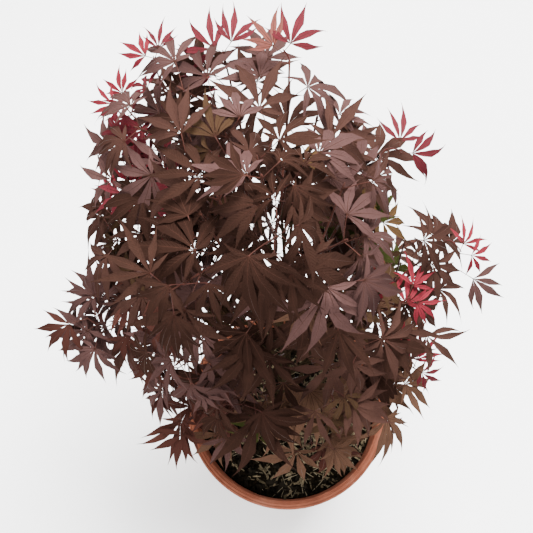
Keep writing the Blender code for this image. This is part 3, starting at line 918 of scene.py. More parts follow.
@dataclass
class Surface:
    """A shape as whole arrays: points, patches of faces and values at the points."""

    points: Array
    patches: list[Patch]
    values: dict[str, Array] = field(default_factory=dict)

    @staticmethod
    def joined(parts: Sequence[Surface]) -> Surface:
        """Several surfaces as one, with the faces renumbered.

        Args:
            parts: The surfaces, which hold the same values.

        Returns:
            The one surface.
        """
        starts = np.cumsum([0] + [len(part.points) for part in parts])
        patches = [Patch(patch.faces + start, patch.chart)
                   for part, start in zip(parts, starts) for patch in part.patches]
        values = {key: np.concatenate([part.values[key] for part in parts])
                  for key in parts[0].values}
        return Surface(np.concatenate([part.points for part in parts]), patches, values)

    def flipped(self) -> Surface:
        """The same surface with its faces turned over."""
        patches = [Patch(p.faces[:, ::-1], p.chart[:, ::-1]) for p in self.patches]
        return Surface(self.points, patches, self.values)

    def mesh(self, name: str, weld: bool = False) -> bpy.types.Mesh:
        """The surface as a mesh with a UV map.

        Args:
            name: Name of the mesh.
            weld: True to merge points that fall on each other.

        Returns:
            The mesh, shaded smooth.
        """
        mesh = bpy.data.meshes.new(name)
        faces = [face for patch in self.patches for face in patch.faces.tolist()]
        mesh.from_pydata(self.points.tolist(), [], faces)
        layer = mesh.uv_layers.new(name="chart")
        chart = np.concatenate([patch.chart.reshape(-1, 2) for patch in self.patches])
        layer.data.foreach_set("uv", chart.astype(np.float32).ravel())
        for key, value in self.values.items():
            held = mesh.attributes.new(key, "FLOAT", "POINT")
            held.data.foreach_set("value", value.astype(np.float32))
        if weld:
            shape = bmesh.new()
            shape.from_mesh(mesh)
            bmesh.ops.remove_doubles(shape, verts=shape.verts, dist=1e-6)
            shape.to_mesh(mesh)
            shape.free()
        mesh.shade_smooth()
        return mesh


def copies(faces: Array, count: int, stride: int) -> Array:
    """The same faces for each of many copies of a set of points."""
    starts = np.arange(count)[:, None, None] * stride
    return (faces[None] + starts).reshape(-1, faces.shape[1])


def ring_grid(rows: int, columns: int, count: int = 1, stride: int = 0) -> Patch:
    """Quads between rings of points that are stored one after the other.

    Args:
        rows: Number of rings.
        columns: Number of points in a ring, which is closed.
        count: Number of copies of the whole.
        stride: Number of points from one copy to the next.

    Returns:
        The quads, charted by column and row as shares of the whole.
    """
    ring, row = np.arange(columns), np.arange(rows - 1)[:, None]
    first, second = row * columns + ring, row * columns + (ring + 1) % columns
    faces = np.stack([first, second, second + columns, first + columns], -1).reshape(-1, 4)
    corner = np.stack(np.meshgrid(ring, row), -1).reshape(-1, 1, 2)
    chart = corner + np.array(((0, 0), (1, 0), (1, 1), (0, 1)))
    chart = np.tile(chart / np.array((columns, rows - 1)), (count, 1, 1))
    return Patch(copies(faces, count, stride), chart)


def closed_rings(rows: int, columns: int, count: int = 1) -> list[Patch]:
    """Faces of closed shapes, each stored as its rings of points and then the middles of its
    first and last ring.

    Args:
        rows: Number of rings.
        columns: Number of points in a ring.
        count: Number of shapes.

    Returns:
        The quads between the rings, and a fan about either middle.
    """
    stride, last = rows * columns + 2, (rows - 1) * columns
    ring = np.arange(columns)
    following = (ring + 1) % columns
    foot = np.stack([np.full(columns, stride - 2), following, ring], -1)
    head = np.stack([np.full(columns, stride - 1), last + ring, last + following], -1)
    return [ring_grid(rows, columns, count, stride),
            Patch(copies(np.concatenate([foot, head]), count, stride))]


def round_angles(count: int) -> Array:
    """Angles evenly shared round an axis."""
    return np.arange(count) * math.tau / count


def raised(plan: Array, height: Array | float) -> Array:
    """Points in plan with their heights."""
    return np.concatenate([plan, np.broadcast_to(height, plan.shape[:-1])[..., None]], -1)


def waves(rng: Draws, u: Array, v: Array, count: int, turns: tuple[int, int],
          lengths: Span) -> Array:
    """Smooth unevenness round an axis: the mean of sines of (n * u + k * v + phase), n being
    a whole number of turns round the axis, so that it closes on itself, and k one turn over a
    length.

    Args:
        rng: Source of the draws.
        u: Angle round the axis.
        v: Distance along it.
        count: Number of sines.
        turns: Least and most of n.
        lengths: Least and most of the length.

    Returns:
        Values from -1 to 1.
    """
    total = np.zeros(np.broadcast(u, v).shape)
    for _ in range(count):
        n = rng.integers(turns[0], turns[1] + 1) * rng.choice((-1, 1))
        k = math.tau / rng.uniform(*lengths)
        total += np.sin(n * u + k * v + rng.uniform(0.0, math.tau))
    return total / count


def tubes(paths: Array, radii: Array, sides: int) -> Surface:
    """Round tubes along many paths at once, closed by a point at both ends.

    The point at step i and angle a is path(i) + radius(i) * (cos a * side + sin a * over),
    with side and over square to the path.

    Args:
        paths: Points of the paths, shaped (tube, step, 3).
        radii: Radii, shaped (tube, step), or (tube, step, side) for an uneven section.
        sides: Number of sides of each tube.

    Returns:
        All the tubes as one surface, charted by turn and by length along.
    """
    count, steps = paths.shape[:2]
    along = unit(np.gradient(paths, axis=1))
    chord = unit(paths[:, -1] - paths[:, 0])
    guide = np.where(np.abs(chord[:, 2:]) > STEEP, (1.0, 0.0, 0.0), (0.0, 0.0, 1.0))
    side = unit(np.cross(along, guide[:, None]))
    over = np.cross(along, side)
    turn = ray(round_angles(sides))
    section = turn[:, :1] * side[:, :, None] + turn[:, 1:] * over[:, :, None]
    radii = radii if radii.ndim == 3 else radii[..., None]
    rings = paths[:, :, None] + radii[..., None] * section
    points = np.concatenate([rings.reshape(count, -1, 3), paths[:, :1], paths[:, -1:]], 1)
    quads, ends = closed_rings(steps, sides, count)
    lengths = np.linalg.norm(np.diff(paths, axis=1), axis=2).sum(1)
    stretch = np.stack([np.ones(count), lengths], -1).repeat(len(quads.chart) // count, 0)
    quads.chart = quads.chart * stretch[:, None]
    return Surface(points.reshape(-1, 3), [quads, ends])


class Grain(NamedTuple):
    """Cloudy noise that brings a colour in: its scale and detail, the values between which
    the colour comes in, how much of it comes at most, and how rough the noise is."""

    scale: float
    detail: float = 3.0
    low: float = 0.0
    high: float = 1.0
    most: float = 1.0
    roughness: float = 0.55


def shade(colour: Colour, share: float, more: float = 0.0) -> Colour:
    """A colour made darker or paler."""
    return tuple(min(1.0, c * share + more) for c in colour)


class Shading:
    """One procedural material, built up around its Principled shader."""

    def __init__(self, name: str, roughness: float, specular: float) -> None:
        """A new material with its plain values set on the shader.

        Args:
            name: Name of the material.
            roughness: Plain roughness, where nothing is linked to it.
            specular: Level of the mirror reflection.
        """
        self.material = bpy.data.materials.new(name)
        self.material.use_nodes = True
        self.tree = self.material.node_tree
        self.shader = self.tree.nodes["Principled BSDF"]
        self.shader.inputs["Roughness"].default_value = roughness
        self.shader.inputs["Specular IOR Level"].default_value = specular
        self.shader.inputs["Metallic"].default_value = 0.0

    def feed(self, socket: Socket, value: Feed) -> None:
        """Link a socket to another, or give it a number, a vector or a colour.

        Args:
            socket: The socket that takes the value.
            value: Another socket, or the plain value.
        """
        if isinstance(value, Socket):
            self.tree.links.new(value, socket)
        elif socket.type == "RGBA" and len(value) == 3:
            socket.default_value = (*value, 1.0)
        else:
            socket.default_value = value

    def node(self, kind: str, inputs: dict, **settings: str) -> bpy.types.Node:
        """A node of the material.

        Args:
            kind: Type of the node.
            inputs: What each input is fed with.
            settings: Its settings.

        Returns:
            The node.
        """
        node = self.tree.nodes.new(kind)
        for key, value in settings.items():
            setattr(node, key, value)
        for key, value in inputs.items():
            self.feed(node.inputs[key], value)
        return node

    def place(self, *stretch: float) -> Socket:
        """Position in the object, stretched along each axis."""
        return self.mapped(self.node("ShaderNodeTexCoord", {}).outputs["Object"], stretch)

    def chart(self, *stretch: float) -> Socket:
        """Position on the piece's own UV map, stretched along each axis."""
        source = self.node("ShaderNodeUVMap", {}, uv_map="chart").outputs["UV"]
        return self.mapped(source, stretch)

    def mapped(self, source: Socket, stretch: Sequence[float]) -> Socket:
        """A position stretched along each axis."""
        scale = stretch or (1.0, 1.0, 1.0)
        return self.node("ShaderNodeMapping", {"Vector": source, "Scale": scale}).outputs[0]

    def value(self, name: str) -> Socket:
        """A value that the mesh holds at its points."""
        return self.node("ShaderNodeAttribute", {}, attribute_name=name).outputs["Fac"]

    def parts(self, vector: Socket) -> Sequence[Socket]:
        """The three parts of a vector."""
        return self.node("ShaderNodeSeparateXYZ", {"Vector": vector}).outputs

    def noise(self, where: Socket, grain: Grain) -> Socket:
        """Cloudy noise, from 0 to 1."""
        inputs = dict(Vector=where, Scale=grain.scale, Detail=grain.detail,
                      Roughness=grain.roughness)
        return self.node("ShaderNodeTexNoise", inputs).outputs["Fac"]

    def cells(self, where: Socket, scale: float) -> Socket:
        """Distance from the nearest of many scattered points."""
        return self.node("ShaderNodeTexVoronoi",
                         {"Vector": where, "Scale": scale}).outputs["Distance"]

    def spread(self, value: Socket, low: float, high: float,
               to_low: float = 0.0, to_high: float = 1.0) -> Socket:
        """A value stretched from one range to another and held within it."""
        ranges = {"Value": value, "From Min": low, "From Max": high, "To Min": to_low,
                  "To Max": to_high}
        return self.node("ShaderNodeMapRange", ranges).outputs["Result"]

    def mix(self, share: Feed, first: Feed, second: Feed) -> Socket:
        """Two colours mixed by a share."""
        inputs = {0: share, 6: first, 7: second}
        return self.node("ShaderNodeMix", inputs, data_type="RGBA").outputs[2]

    def stain(self, colour: Feed, noise: Socket, grain: Grain, other: Colour) -> Socket:
        """A colour with another brought in by noise."""
        return self.mix(self.spread(noise, grain.low, grain.high, 0.0, grain.most), colour,
                        other)

    def times(self, first: Feed, second: Feed) -> Socket:
        """One value times another."""
        return self.maths("MULTIPLY", first, second)

    def maths(self, operation: str, first: Feed, second: Feed = 0.0) -> Socket:
        """The result of a sum on one or two values."""
        return self.node("ShaderNodeMath", {0: first, 1: second},
                         operation=operation).outputs[0]

    def finish(self, colour: Feed, height: Socket, depth: float,
               roughness: Socket | None = None) -> Material:
        """Link colour, relief and roughness to the shader.

        Args:
            colour: Socket that gives the base colour.
            height: Socket that gives the relief.
            depth: Height of the relief in metres.
            roughness: Socket that gives the roughness, if it varies.

        Returns:
            The finished material.
        """
        self.feed(self.shader.inputs["Base Color"], colour)
        bump = self.node("ShaderNodeBump", {"Height": height, "Strength": 1.0,
                                            "Distance": depth})
        self.feed(self.shader.inputs["Normal"], bump.outputs["Normal"])
        if roughness is not None:
            self.feed(self.shader.inputs["Roughness"], roughness)
        return self.material


@dataclass(frozen=True)
class LeafFinish:
    """Skin of a leaf: its tint, clouded, paler by the ribs, with side veins in relief. The
    veins leave the rib at a slant and repeat over the length of the blade."""

    tint: Tint
    roughness: float = 0.55
    uneven: Span = (-0.06, 0.10)
    deep_share: float = 0.55
    pale_share: float = 1.6
    cloud_share: float = 0.6
    speck_share: float = 0.5
    least: float = 0.001
    cloud: Grain = Grain(75.0, 5.0, 0.35, 0.7, 0.50)
    speck: Grain = Grain(600.0, 3.0, 0.50, 0.75, 0.50)
    skin: Grain = Grain(400.0)
    gloss: Grain = Grain(120.0, 3.0, 0.3, 0.7)
    rib_half: float = 0.030
    rib_share: float = 0.20
    vein_slant: float = 1.3
    vein_turns: float = 120.0
    vein_from: float = 0.55
    vein_share: float = 0.16
    vein_height: float = 0.6
    skin_height: float = 0.5
    relief: float = 0.00035

    def material(self) -> Material:
        """Make this finish.

        Returns:
            The material.
        """
        work = Shading(f"leaf_{self.tint.name.lower()}", self.roughness, 0.0)
        place, base = work.place(), self.tint.value
        pale = shade(base, self.pale_share, self.least)
        colour = work.mix(work.value("tone"), shade(base, self.deep_share), pale)
        colour = work.stain(colour, work.noise(place, self.cloud), self.cloud,
                            shade(base, self.cloud_share, self.least))
        colour = work.stain(colour, work.noise(place, self.speck), self.speck,
                            shade(base, self.speck_share))
        across, along, _ = work.parts(work.chart())
        aside = work.maths("ABSOLUTE", across)
        near_rib = work.spread(aside, 0.0, self.rib_half, self.rib_share, 0.0)
        colour = work.mix(near_rib, colour, pale)
        slant = work.maths("SUBTRACT", along, work.times(aside, self.vein_slant))
        veins = work.maths("SINE", work.times(slant, self.vein_turns))
        veins = work.spread(veins, self.vein_from, 1.0)
        colour = work.mix(work.times(veins, self.vein_share), colour, pale)
        height = work.maths("ADD", work.times(veins, self.vein_height),
                            work.times(work.noise(place, self.skin), self.skin_height))
        rough = work.spread(work.noise(place, self.gloss), self.gloss.low, self.gloss.high,
                            *(self.roughness + part for part in self.uneven))
        return work.finish(colour, height, self.relief, rough)


@dataclass(frozen=True)
class ShootFinish:
    """Skin of stalks, ribs and young twigs: smooth, with a slow change of colour along."""

    name: str
    first: Colour
    second: Colour
    change: Grain = Grain(22.0, 3.0, 0.38, 0.62)
    fine: Grain = Grain(700.0, 2.0, 0.5, 0.8, 0.4)

    def material(self) -> Material:
        """Make this finish.

        Returns:
            The material.
        """
        work = Shading(self.name, 0.42, 0.02)
        place = work.place()
        colour = work.stain(self.first, work.noise(place, self.change), self.change,
                            self.second)
        fine = work.noise(place, self.fine)
        colour = work.stain(colour, fine, self.fine, shade(self.first, 0.5))
        return work.finish(colour, fine, 0.00015)


@dataclass(frozen=True)
class BarkFinish:
    """Young bark: dark brown streaks that run along the limb, with paler pores."""

    first: Colour = (0.0125, 0.0085, 0.0048)
    second: Colour = (0.0310, 0.0210, 0.0120)
    crack: Colour = (0.0045, 0.0032, 0.0020)
    pore: Colour = (0.060, 0.044, 0.030)
    streaks: Grain = Grain(1.0, 5.0, 0.35, 0.65, 1.0, 0.6)
    creases: Grain = Grain(1.0, 3.0, 0.52, 0.68, 0.8, 0.65)

    def material(self) -> Material:
        """Make this finish.

        Returns:
            The material.
        """
        work = Shading("bark", 0.8, 0.0)
        streaks = work.noise(work.chart(14.0, 45.0, 1.0), self.streaks)
        colour = work.stain(self.first, streaks, self.streaks, self.second)
        crease = work.noise(work.chart(60.0, 70.0, 1.0), self.creases)
        colour = work.stain(colour, crease, self.creases, self.crack)
        is_pore = work.spread(work.cells(work.chart(9.0, 150.0, 1.0), 1.0), 0.06, 0.13, 0.7,
                              0.0)
        colour = work.mix(is_pore, colour, self.pore)
        height = work.maths("ADD", work.maths("SUBTRACT", streaks, crease), is_pore)
        return work.finish(colour, height, 0.0005)


@dataclass(frozen=True)
class TerracottaFinish:
    """Fired clay: warm and mottled, with a pale bloom, fine turning lines and small pits, and
    damp by its foot."""

    clay: Colour = (0.180, 0.058, 0.033)
    deep: Colour = (0.112, 0.034, 0.019)
    bloom: Colour = (0.220, 0.105, 0.072)
    damp: Colour = (0.070, 0.024, 0.015)
    mottle: Grain = Grain(18.0, 6.0, 0.35, 0.65, 1.0, 0.6)
    blooming: Grain = Grain(9.0, 8.0, 0.55, 0.75, 0.55, 0.7)
    grit: Grain = Grain(1400.0, 2.0, 0.6, 0.75, 0.35)
    damp_height: float = 0.03
    damp_share: float = 0.5
    line_stretch: Triple = (3.0, 3.0, 900.0)
    pit_scale: float = 420.0
    heights: Triple = (0.5, 0.5, 0.35)

    def material(self) -> Material:
        """Make this finish.

        Returns:
            The material.
        """
        work = Shading("terracotta", 0.82, 0.06)
        place = work.place()
        mottle = work.noise(place, self.mottle)
        colour = work.stain(self.deep, mottle, self.mottle, self.clay)
        colour = work.stain(colour, work.noise(place, self.blooming), self.blooming,
                            self.bloom)
        grit = work.noise(place, self.grit)
        colour = work.stain(colour, grit, self.grit, self.deep)
        low = work.maths("ADD", work.parts(place)[2], work.times(mottle, self.damp_height))
        colour = work.mix(work.spread(low, self.damp_height, 0.0, 0.0, self.damp_share),
                          colour, self.damp)
        lines = work.noise(work.place(*self.line_stretch), Grain(1.0))
        pits = work.spread(work.cells(place, self.pit_scale), 0.0, 0.25)
        line_part, grit_part, pit_part = (
            work.times(part, share) for part, share in zip((lines, grit, pits), self.heights))
        relief = work.maths("ADD", work.maths("ADD", line_part, grit_part), pit_part)
        return work.finish(colour, relief, 0.0004, work.spread(mottle, 0.3, 0.7, 0.72, 0.92))


@dataclass(frozen=True)
class CompostFinish:
    """Damp potting compost: near black, crumbly, with brown fibres."""

    dark: Colour = (0.0016, 0.0012, 0.0007)
    brown: Colour = (0.0090, 0.0065, 0.0038)
    fibre: Colour = (0.030, 0.022, 0.013)
    cloud: Grain = Grain(160.0, 5.0, 0.42, 0.66, 1.0, 0.7)
    fibres: Grain = Grain(1.0, 2.0, 0.66, 0.74, 0.7)

    def material(self) -> Material:
        """Make this finish.

        Returns:
            The material.
        """
        work = Shading("compost", 0.95, 0.01)
        place = work.place()
        cloud = work.noise(place, self.cloud)
        colour = work.stain(self.dark, cloud, self.cloud, self.brown)
        fibres = work.noise(work.place(260.0, 900.0, 400.0), self.fibres)
        colour = work.stain(colour, fibres, self.fibres, self.fibre)
        crumbs = work.times(work.cells(place, 330.0), -1.0)
        return work.finish(colour, work.maths("ADD", crumbs, cloud), 0.0022)


@dataclass(frozen=True)
class ChipFinish:
    """A scrap of wood or straw: its own colour, with grain and dirty patches."""

    name: str
    wood: Colour
    deep: Colour
    grain: Grain = Grain(3.0, 3.0, 0.45, 0.65, 0.5)
    dirt: Grain = Grain(190.0, 3.0, 0.52, 0.68, 0.7)

    def material(self) -> Material:
        """Make this finish.

        Returns:
            The material.
        """
        work = Shading(self.name, 0.85, 0.03)
        grain = work.noise(work.chart(2.0, 14.0, 1.0), self.grain)
        colour = work.mix(work.value("tone"), self.deep, self.wood)
        colour = work.stain(colour, grain, self.grain, self.deep)
        colour = work.stain(colour, work.noise(work.place(), self.dirt), self.dirt,
                            shade(self.deep, 0.25))
        return work.finish(colour, grain, 0.0003)


@dataclass(frozen=True)
class FloorFinish:
    """Plain pale floor, all but even."""

    colour: Colour = (0.90, 0.90, 0.90)

    def material(self) -> Material:
        """Make this finish.

        Returns:
            The material.
        """
        work = Shading("pale_floor", 0.9, 0.2)
        cloud = work.noise(work.place(), Grain(2.0, 2.0))
        colour = work.mix(cloud, self.colour, shade(self.colour, 0.98))
        return work.finish(colour, cloud, 0.0001)


def add_object(name: str, data: bpy.types.ID) -> bpy.types.Object:
    """A new object in the scene, at the origin."""
    thing = bpy.data.objects.new(name, data)
    bpy.context.scene.collection.objects.link(thing)
    return thing


def make_piece(name: str, surface: Surface, material: Material, slot: Slot,
               nodes: Iterable[str] = (), weld: bool = False) -> None:
    """Make a finished piece that rides on the body and stands for its solids.

    Args:
        name: Name of the piece.
        surface: Its shape.
        material: Its material.
        slot: Slot that its finish belongs to; not used.
        nodes: Solids that it stands for.
        weld: True to merge points that fall on each other.
    """
    mesh = surface.mesh(name, weld)
    mesh.materials.append(material)
    piece = add_object(name, mesh)
    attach(piece, BODY)
    nodes = sorted(nodes)
    if nodes:
        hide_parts(*nodes)
    mesh.calc_loop_triangles()
    LOG.info("%s: %d triangles, stands for %d solids", name, len(mesh.loop_triangles),
             len(nodes))


def arc(centre: Span, radius: float, first: float, last: float, count: int) -> Array:
    """Points on an arc between two angles in degrees."""
    return centre + radius * ray(np.radians(np.linspace(first, last, count)))


def resampled(profile: Array, step: float) -> Array:
    """A profile with points added where two of its own lie further apart than a step.

    Args:
        profile: Points of the profile.
        step: The most that two points lie apart.

    Returns:
        The points with those between them.
    """
    gaps = np.linalg.norm(np.diff(profile, axis=0), axis=1)
    counts = np.maximum(1, np.ceil(gaps / step)).astype(int)
    stretch = np.repeat(np.arange(len(gaps)), counts)
    before = np.repeat(np.cumsum(counts) - counts, counts)
    share = (np.arange(counts.sum()) - before) / np.repeat(counts, counts)
    points = profile[stretch] + share[:, None] * (profile[stretch + 1] - profile[stretch])
    return np.concatenate([points, profile[-1:]])


@dataclass
class Flowerpot:
    """The turned clay pot, with its lip, collar and drain holes."""

    form: PotForm
    turns: int = 192
    step: float = 0.0035
    lines: float = 0.00012
    wobble: float = 0.00030
    fade: float = 0.01
    collar_hollow: Span = (0.0015, 0.003)
    groove_insets: Span = (0.0036, 0.0079)
    groove_half: float = 0.0009
    groove_floor: float = 0.4
    groove_depth: float = 0.0008
    spoke_steps: int = 9
    sector_rows: int = 5
    seed: int = 5

    def profile(self) -> Array:
        """Radius and height up the outside, over the lip and down the inside. Two shallow
        grooves run round the top of the lip.

        Returns:
            The points of the profile.
        """
        form, lip = self.form, self.form.lip_round
        foot = form.rim_radius - form.collar_taper
        base = form.height - form.collar_depth
        inner = form.rim_radius - form.lip_width
        round_under, below = self.collar_hollow
        grooves = [(form.rim_radius - inset + side * self.groove_half, form.height - depth)
                   for inset in self.groove_insets
                   for side, depth in ((1, 0.0), (self.groove_floor, self.groove_depth),
                                       (-self.groove_floor, self.groove_depth), (-1, 0.0))]
        return resampled(np.concatenate([
            arc((form.base_radius - form.base_round, form.base_round), form.base_round,
                -90, 0, 5),
            arc((foot - form.collar_step - round_under, base - below), round_under, 0, 60, 3),
            arc((foot - lip / 2, base + lip / 2), lip / 2, -90, 0, 5),
            arc((form.rim_radius - lip, form.height - lip), lip, 0, 90, 8),
            grooves,
            arc((inner + lip, form.height - lip), lip, 90, 180, 8),
            [(form.inner_radius(form.floor), form.floor)],
        ]), self.step)

    def wall(self) -> Surface:
        """The wall, as its profile turned round the axis.

        The point at angle a and step i is (r cos a, r sin a, z) of the profile, moved along
        its radius by fine turning lines in the height and a slow wobble round the axis, both
        of which die away at the two floors.

        Returns:
            The wall, open at both floors.
        """
        rng = np.random.default_rng(self.seed)
        profile = self.profile()
        angles = round_angles(self.turns)[None]
        radius, height = profile[:, :1], profile[:, 1:]
        lines = waves(rng, angles * 0.0, height, 6, (1, 3), (0.002, 0.006))
        wobble = waves(rng, angles, height, 8, (1, 5), (0.05, 0.30))
        fade = np.clip(height - self.form.floor, 0.0, self.fade) / self.fade
        radius = radius + (self.lines * lines + self.wobble * wobble) * fade
        points = raised(radius[..., None] * ray(angles), height)
        return Surface(points.reshape(-1, 3), [ring_grid(len(profile), self.turns)])

    def floor_sector(self, index: int, radius: float, height: float) -> Array:
        """A quarter of a floor, round its drain hole.

        The point at column j and row s is h(j) + s * (o(j) - h(j)), o(j) running round the
        quarter's outline and h(j) being the point of the hole's edge that faces it.

        Args:
            index: Number of the quarter.
            radius: Radius of the floor.
            height: Its height.

        Returns:
            The points, row by row from the hole outward.
        """
        form = self.form
        quarter = math.tau / form.drain_holes
        steps = self.turns // form.drain_holes
        angles = index * quarter + np.linspace(0.0, quarter, steps + 1)
        rim = radius * ray(angles)
        spoke = np.linspace(0.0, 1.0, self.spoke_steps)[:-1, None]
        outline = np.concatenate([spoke * rim[:1], rim, spoke[:0:-1] * rim[-1:]])
        centre = form.drain_ring * ray(angles.mean())
        hole = centre + form.drain_radius * unit(outline - centre)
        share = np.linspace(0.0, 1.0, self.sector_rows)[:, None, None]
        return raised(hole + share * (outline - hole), height)

    def floor(self) -> list[Surface]:
        """Underside, inner floor and the walls of the drain holes.

        Returns:
            Those of each quarter.
        """
        form, parts = self.form, []
        for index in range(form.drain_holes):
            below = self.floor_sector(index, form.base_radius - form.base_round, 0.0)
            above = self.floor_sector(index, form.inner_radius(form.floor), form.floor)
            bore = np.stack([below[0], above[0]])
            under, inside, hole = (
                Surface(points.reshape(-1, 3), [ring_grid(*points.shape[:2])])
                for points in (below, above, bore))
            parts += [under, inside.flipped(), hole.flipped()]
        return parts

    def build(self) -> None:
        """Make the pot."""
        surface = Surface.joined([self.wall()] + self.floor())
        make_piece("turned_pot", surface, TerracottaFinish().material(), Slot.TERRACOTTA,
                   ["pot"], weld=True)


@dataclass(frozen=True)
class Scraps:
    """Splinters of one kind of wood that lie on the compost: their piece, how many there are,
    least and most length, width and thickness, and how much they keep to the right."""

    name: str
    count: int
    length: Span
    width: Span
    thick: Span
    lean: float
    finish: ChipFinish


@dataclass
class Compost:
    """Crumbly compost, with the wood chips, crumbs, bark and straw that lie on it."""

    form: PotForm
    trunk: TrunkForm
    rings: int = 90
    turns: int = 220
    relief: float = 0.0011
    sunk: float = 0.0006
    wave_count: int = 24
    wave_length: Span = (0.006, 0.040)
    smooth_radius: float = 0.030
    clear_radius: float = 0.013
    edge_room: float = 0.004
    density: float = 0.6
    seed: int = 11
    splinters: tuple[Scraps, ...] = (
        Scraps("wood_chips", 620, (0.005, 0.018), (0.0013, 0.0044), (0.0006, 0.0016), 0.45,
               ChipFinish("pale_wood", (0.165, 0.128, 0.078), (0.044, 0.034, 0.020))),
        Scraps("bark_bits", 420, (0.004, 0.013), (0.002, 0.007), (0.0008, 0.0024), 0.0,
               ChipFinish("dark_wood", (0.011, 0.0085, 0.0058), (0.0035, 0.0028, 0.0018))))
    uneven: Span = (-0.45, 0.35)
    tip: float = 0.20
    splinter_lift: float = 0.35
    crumbs: int = 2200
    crumb_size: Span = (0.0006, 0.0026)
    straws: int = 150
    straw_length: Span = (0.008, 0.026)
    straw_bend: float = 0.25
    straw_radius: Span = (0.0003, 0.0007)
    straw_lift: float = 0.0013
    straw_finish: ChipFinish = ChipFinish("straw", (0.165, 0.138, 0.092),
                                          (0.070, 0.058, 0.038))

    def relief_waves(self) -> Array:
        """The waves that make the relief.

        Returns:
            Their turn along x and y, phase and size.
        """
        rng = np.random.default_rng(self.seed)
        angle = rng.uniform(0.0, math.tau, self.wave_count)
        spacing = rng.uniform(*self.wave_length, self.wave_count)
        turn = math.tau / spacing
        return np.stack([np.cos(angle) * turn, np.sin(angle) * turn,
                         rng.uniform(0.0, math.tau, self.wave_count),
                         spacing / spacing.mean()])

    def height(self, plan: Array) -> Array:
        """Height of the surface: level about the trunk and a little lower at the wall, plus
        the mean of crossing waves, which die away at the trunk.

        Args:
            plan: Points in plan.

        Returns:
            The height at each point.
        """
        form, (x, y) = self.form, np.moveaxis(plan, -1, 0)
        edge = form.bed_radius - FIT_GAP
        slope = (np.hypot(x, y) - form.soil_level_radius) / (edge - form.soil_level_radius)
        base = form.soil_top + (form.soil_edge - form.soil_top) * np.clip(slope, 0.0, 1.0)
        a, b, phase, size = self.relief_waves()[:, :, None]
        wave = size * np.sin(a * x.reshape(1, -1) + b * y.reshape(1, -1) + phase)
        rough = wave.sum(0).reshape(x.shape) / math.sqrt(len(size))
        off_trunk = np.hypot(x, y - self.trunk.foot_y) / self.smooth_radius
        return base + self.relief * rough * np.clip(off_trunk, 0.0, 1.0) - self.sunk

    def bed(self) -> Surface:
        """The bed: a polar grid for the top, down the wall and in again to its middle.

        Returns:
            The bed.
        """
        form = self.form
        foot = form.floor + FIT_GAP
        angles = round_angles(self.turns)
        radii = np.linspace(0.0, 1.0, self.rings + 1)[1:, None] * (form.bed_radius - FIT_GAP)
        plan = radii[..., None] * ray(angles)
        low = raised((form.inner_radius(foot) - FIT_GAP) * ray(angles), foot)
        rings = np.concatenate([raised(plan, self.height(plan)), low[None]])
        middle = np.zeros((2, 2))
        middle = raised(middle, (self.height(middle)[0], foot))
        points = np.concatenate([rings.reshape(-1, 3), middle])
        return Surface(points, closed_rings(len(rings), self.turns)).flipped()

    def scatter(self, rng: Draws, count: int, lean: float) -> Array:
        """Points over the bed, clear of the trunk.

        Args:
            rng: Source of the draws.
            count: The most points.
            lean: How much they keep to the right.

        Returns:
            The points.
        """
        edge = self.form.bed_radius - self.edge_room
        spots = rng.uniform(-edge, edge, (count * 4, 2))
        off_trunk = np.hypot(spots[:, 0], spots[:, 1] - self.trunk.foot_y)
        wanted = rng.uniform(0.0, 1.0, len(spots)) < self.density + lean * spots[:, 0] / edge
        inside = np.hypot(*spots.T) < edge
        spots = spots[inside & (off_trunk > self.clear_radius) & wanted][:count]
        return raised(spots, self.height(spots))

    def slabs(self, rng: Draws, kind: Scraps) -> Surface:
        """Splinters of wood: uneven slabs of six faces, turned at random and tipped a little.

        Each corner of the slab is (+-l/2, +-w/2, +-t/2) with a random part of itself added,
        then turned by a yaw and tipped by a small pitch and roll.

        Args:
            rng: Source of the draws.
            kind: The kind of splinter.

        Returns:
            All the splinters of that kind.
        """
        spots = self.scatter(rng, kind.count, kind.lean)
        count = len(spots)
        size = np.stack([rng.uniform(*span, count)
                         for span in (kind.length, kind.width, kind.thick)], -1)
        signs = np.array([(x, y, z) for z in (-1, 1) for x, y in SQUARE]) / 2
        uneven = 1 + rng.uniform(*self.uneven, (count, 8, 3)) * np.array((0.7, 1.0, 0.5))
        yaw, pitch, roll = (rng.uniform(0, math.tau, count),
                            *rng.normal(0, self.tip, (2, count)))
        heading = ray(yaw)
        east = raised(heading * np.cos(pitch)[:, None], np.sin(pitch))
        level = raised(left_of(heading), 0.0)
        north = (level * np.cos(roll)[:, None]
                 + np.cross(east, level) * np.sin(roll)[:, None])
        basis = np.stack([east, north, np.cross(east, north)], 1)
        spots[:, 2] += size[:, 2] * self.splinter_lift
        points = (signs * size[:, None] * uneven) @ basis + spots[:, None]
        box = np.array([(3, 2, 1, 0), (4, 5, 6, 7), (0, 1, 5, 4), (1, 2, 6, 5), (2, 3, 7, 6),
                        (3, 0, 4, 7)])
        plan = (signs[:, :2] + 0.5)[box] * np.array((0.35, 1.0))
        chart = np.tile(plan, (count, 1, 1)) + rng.uniform(0, 9, (count, 1, 2)).repeat(6, 0)
        tone = rng.uniform(0.0, 1.0, count).repeat(8)
        patch = Patch(copies(box, count, 8), chart)
        return Surface(points.reshape(-1, 3), [patch], {"tone": tone})

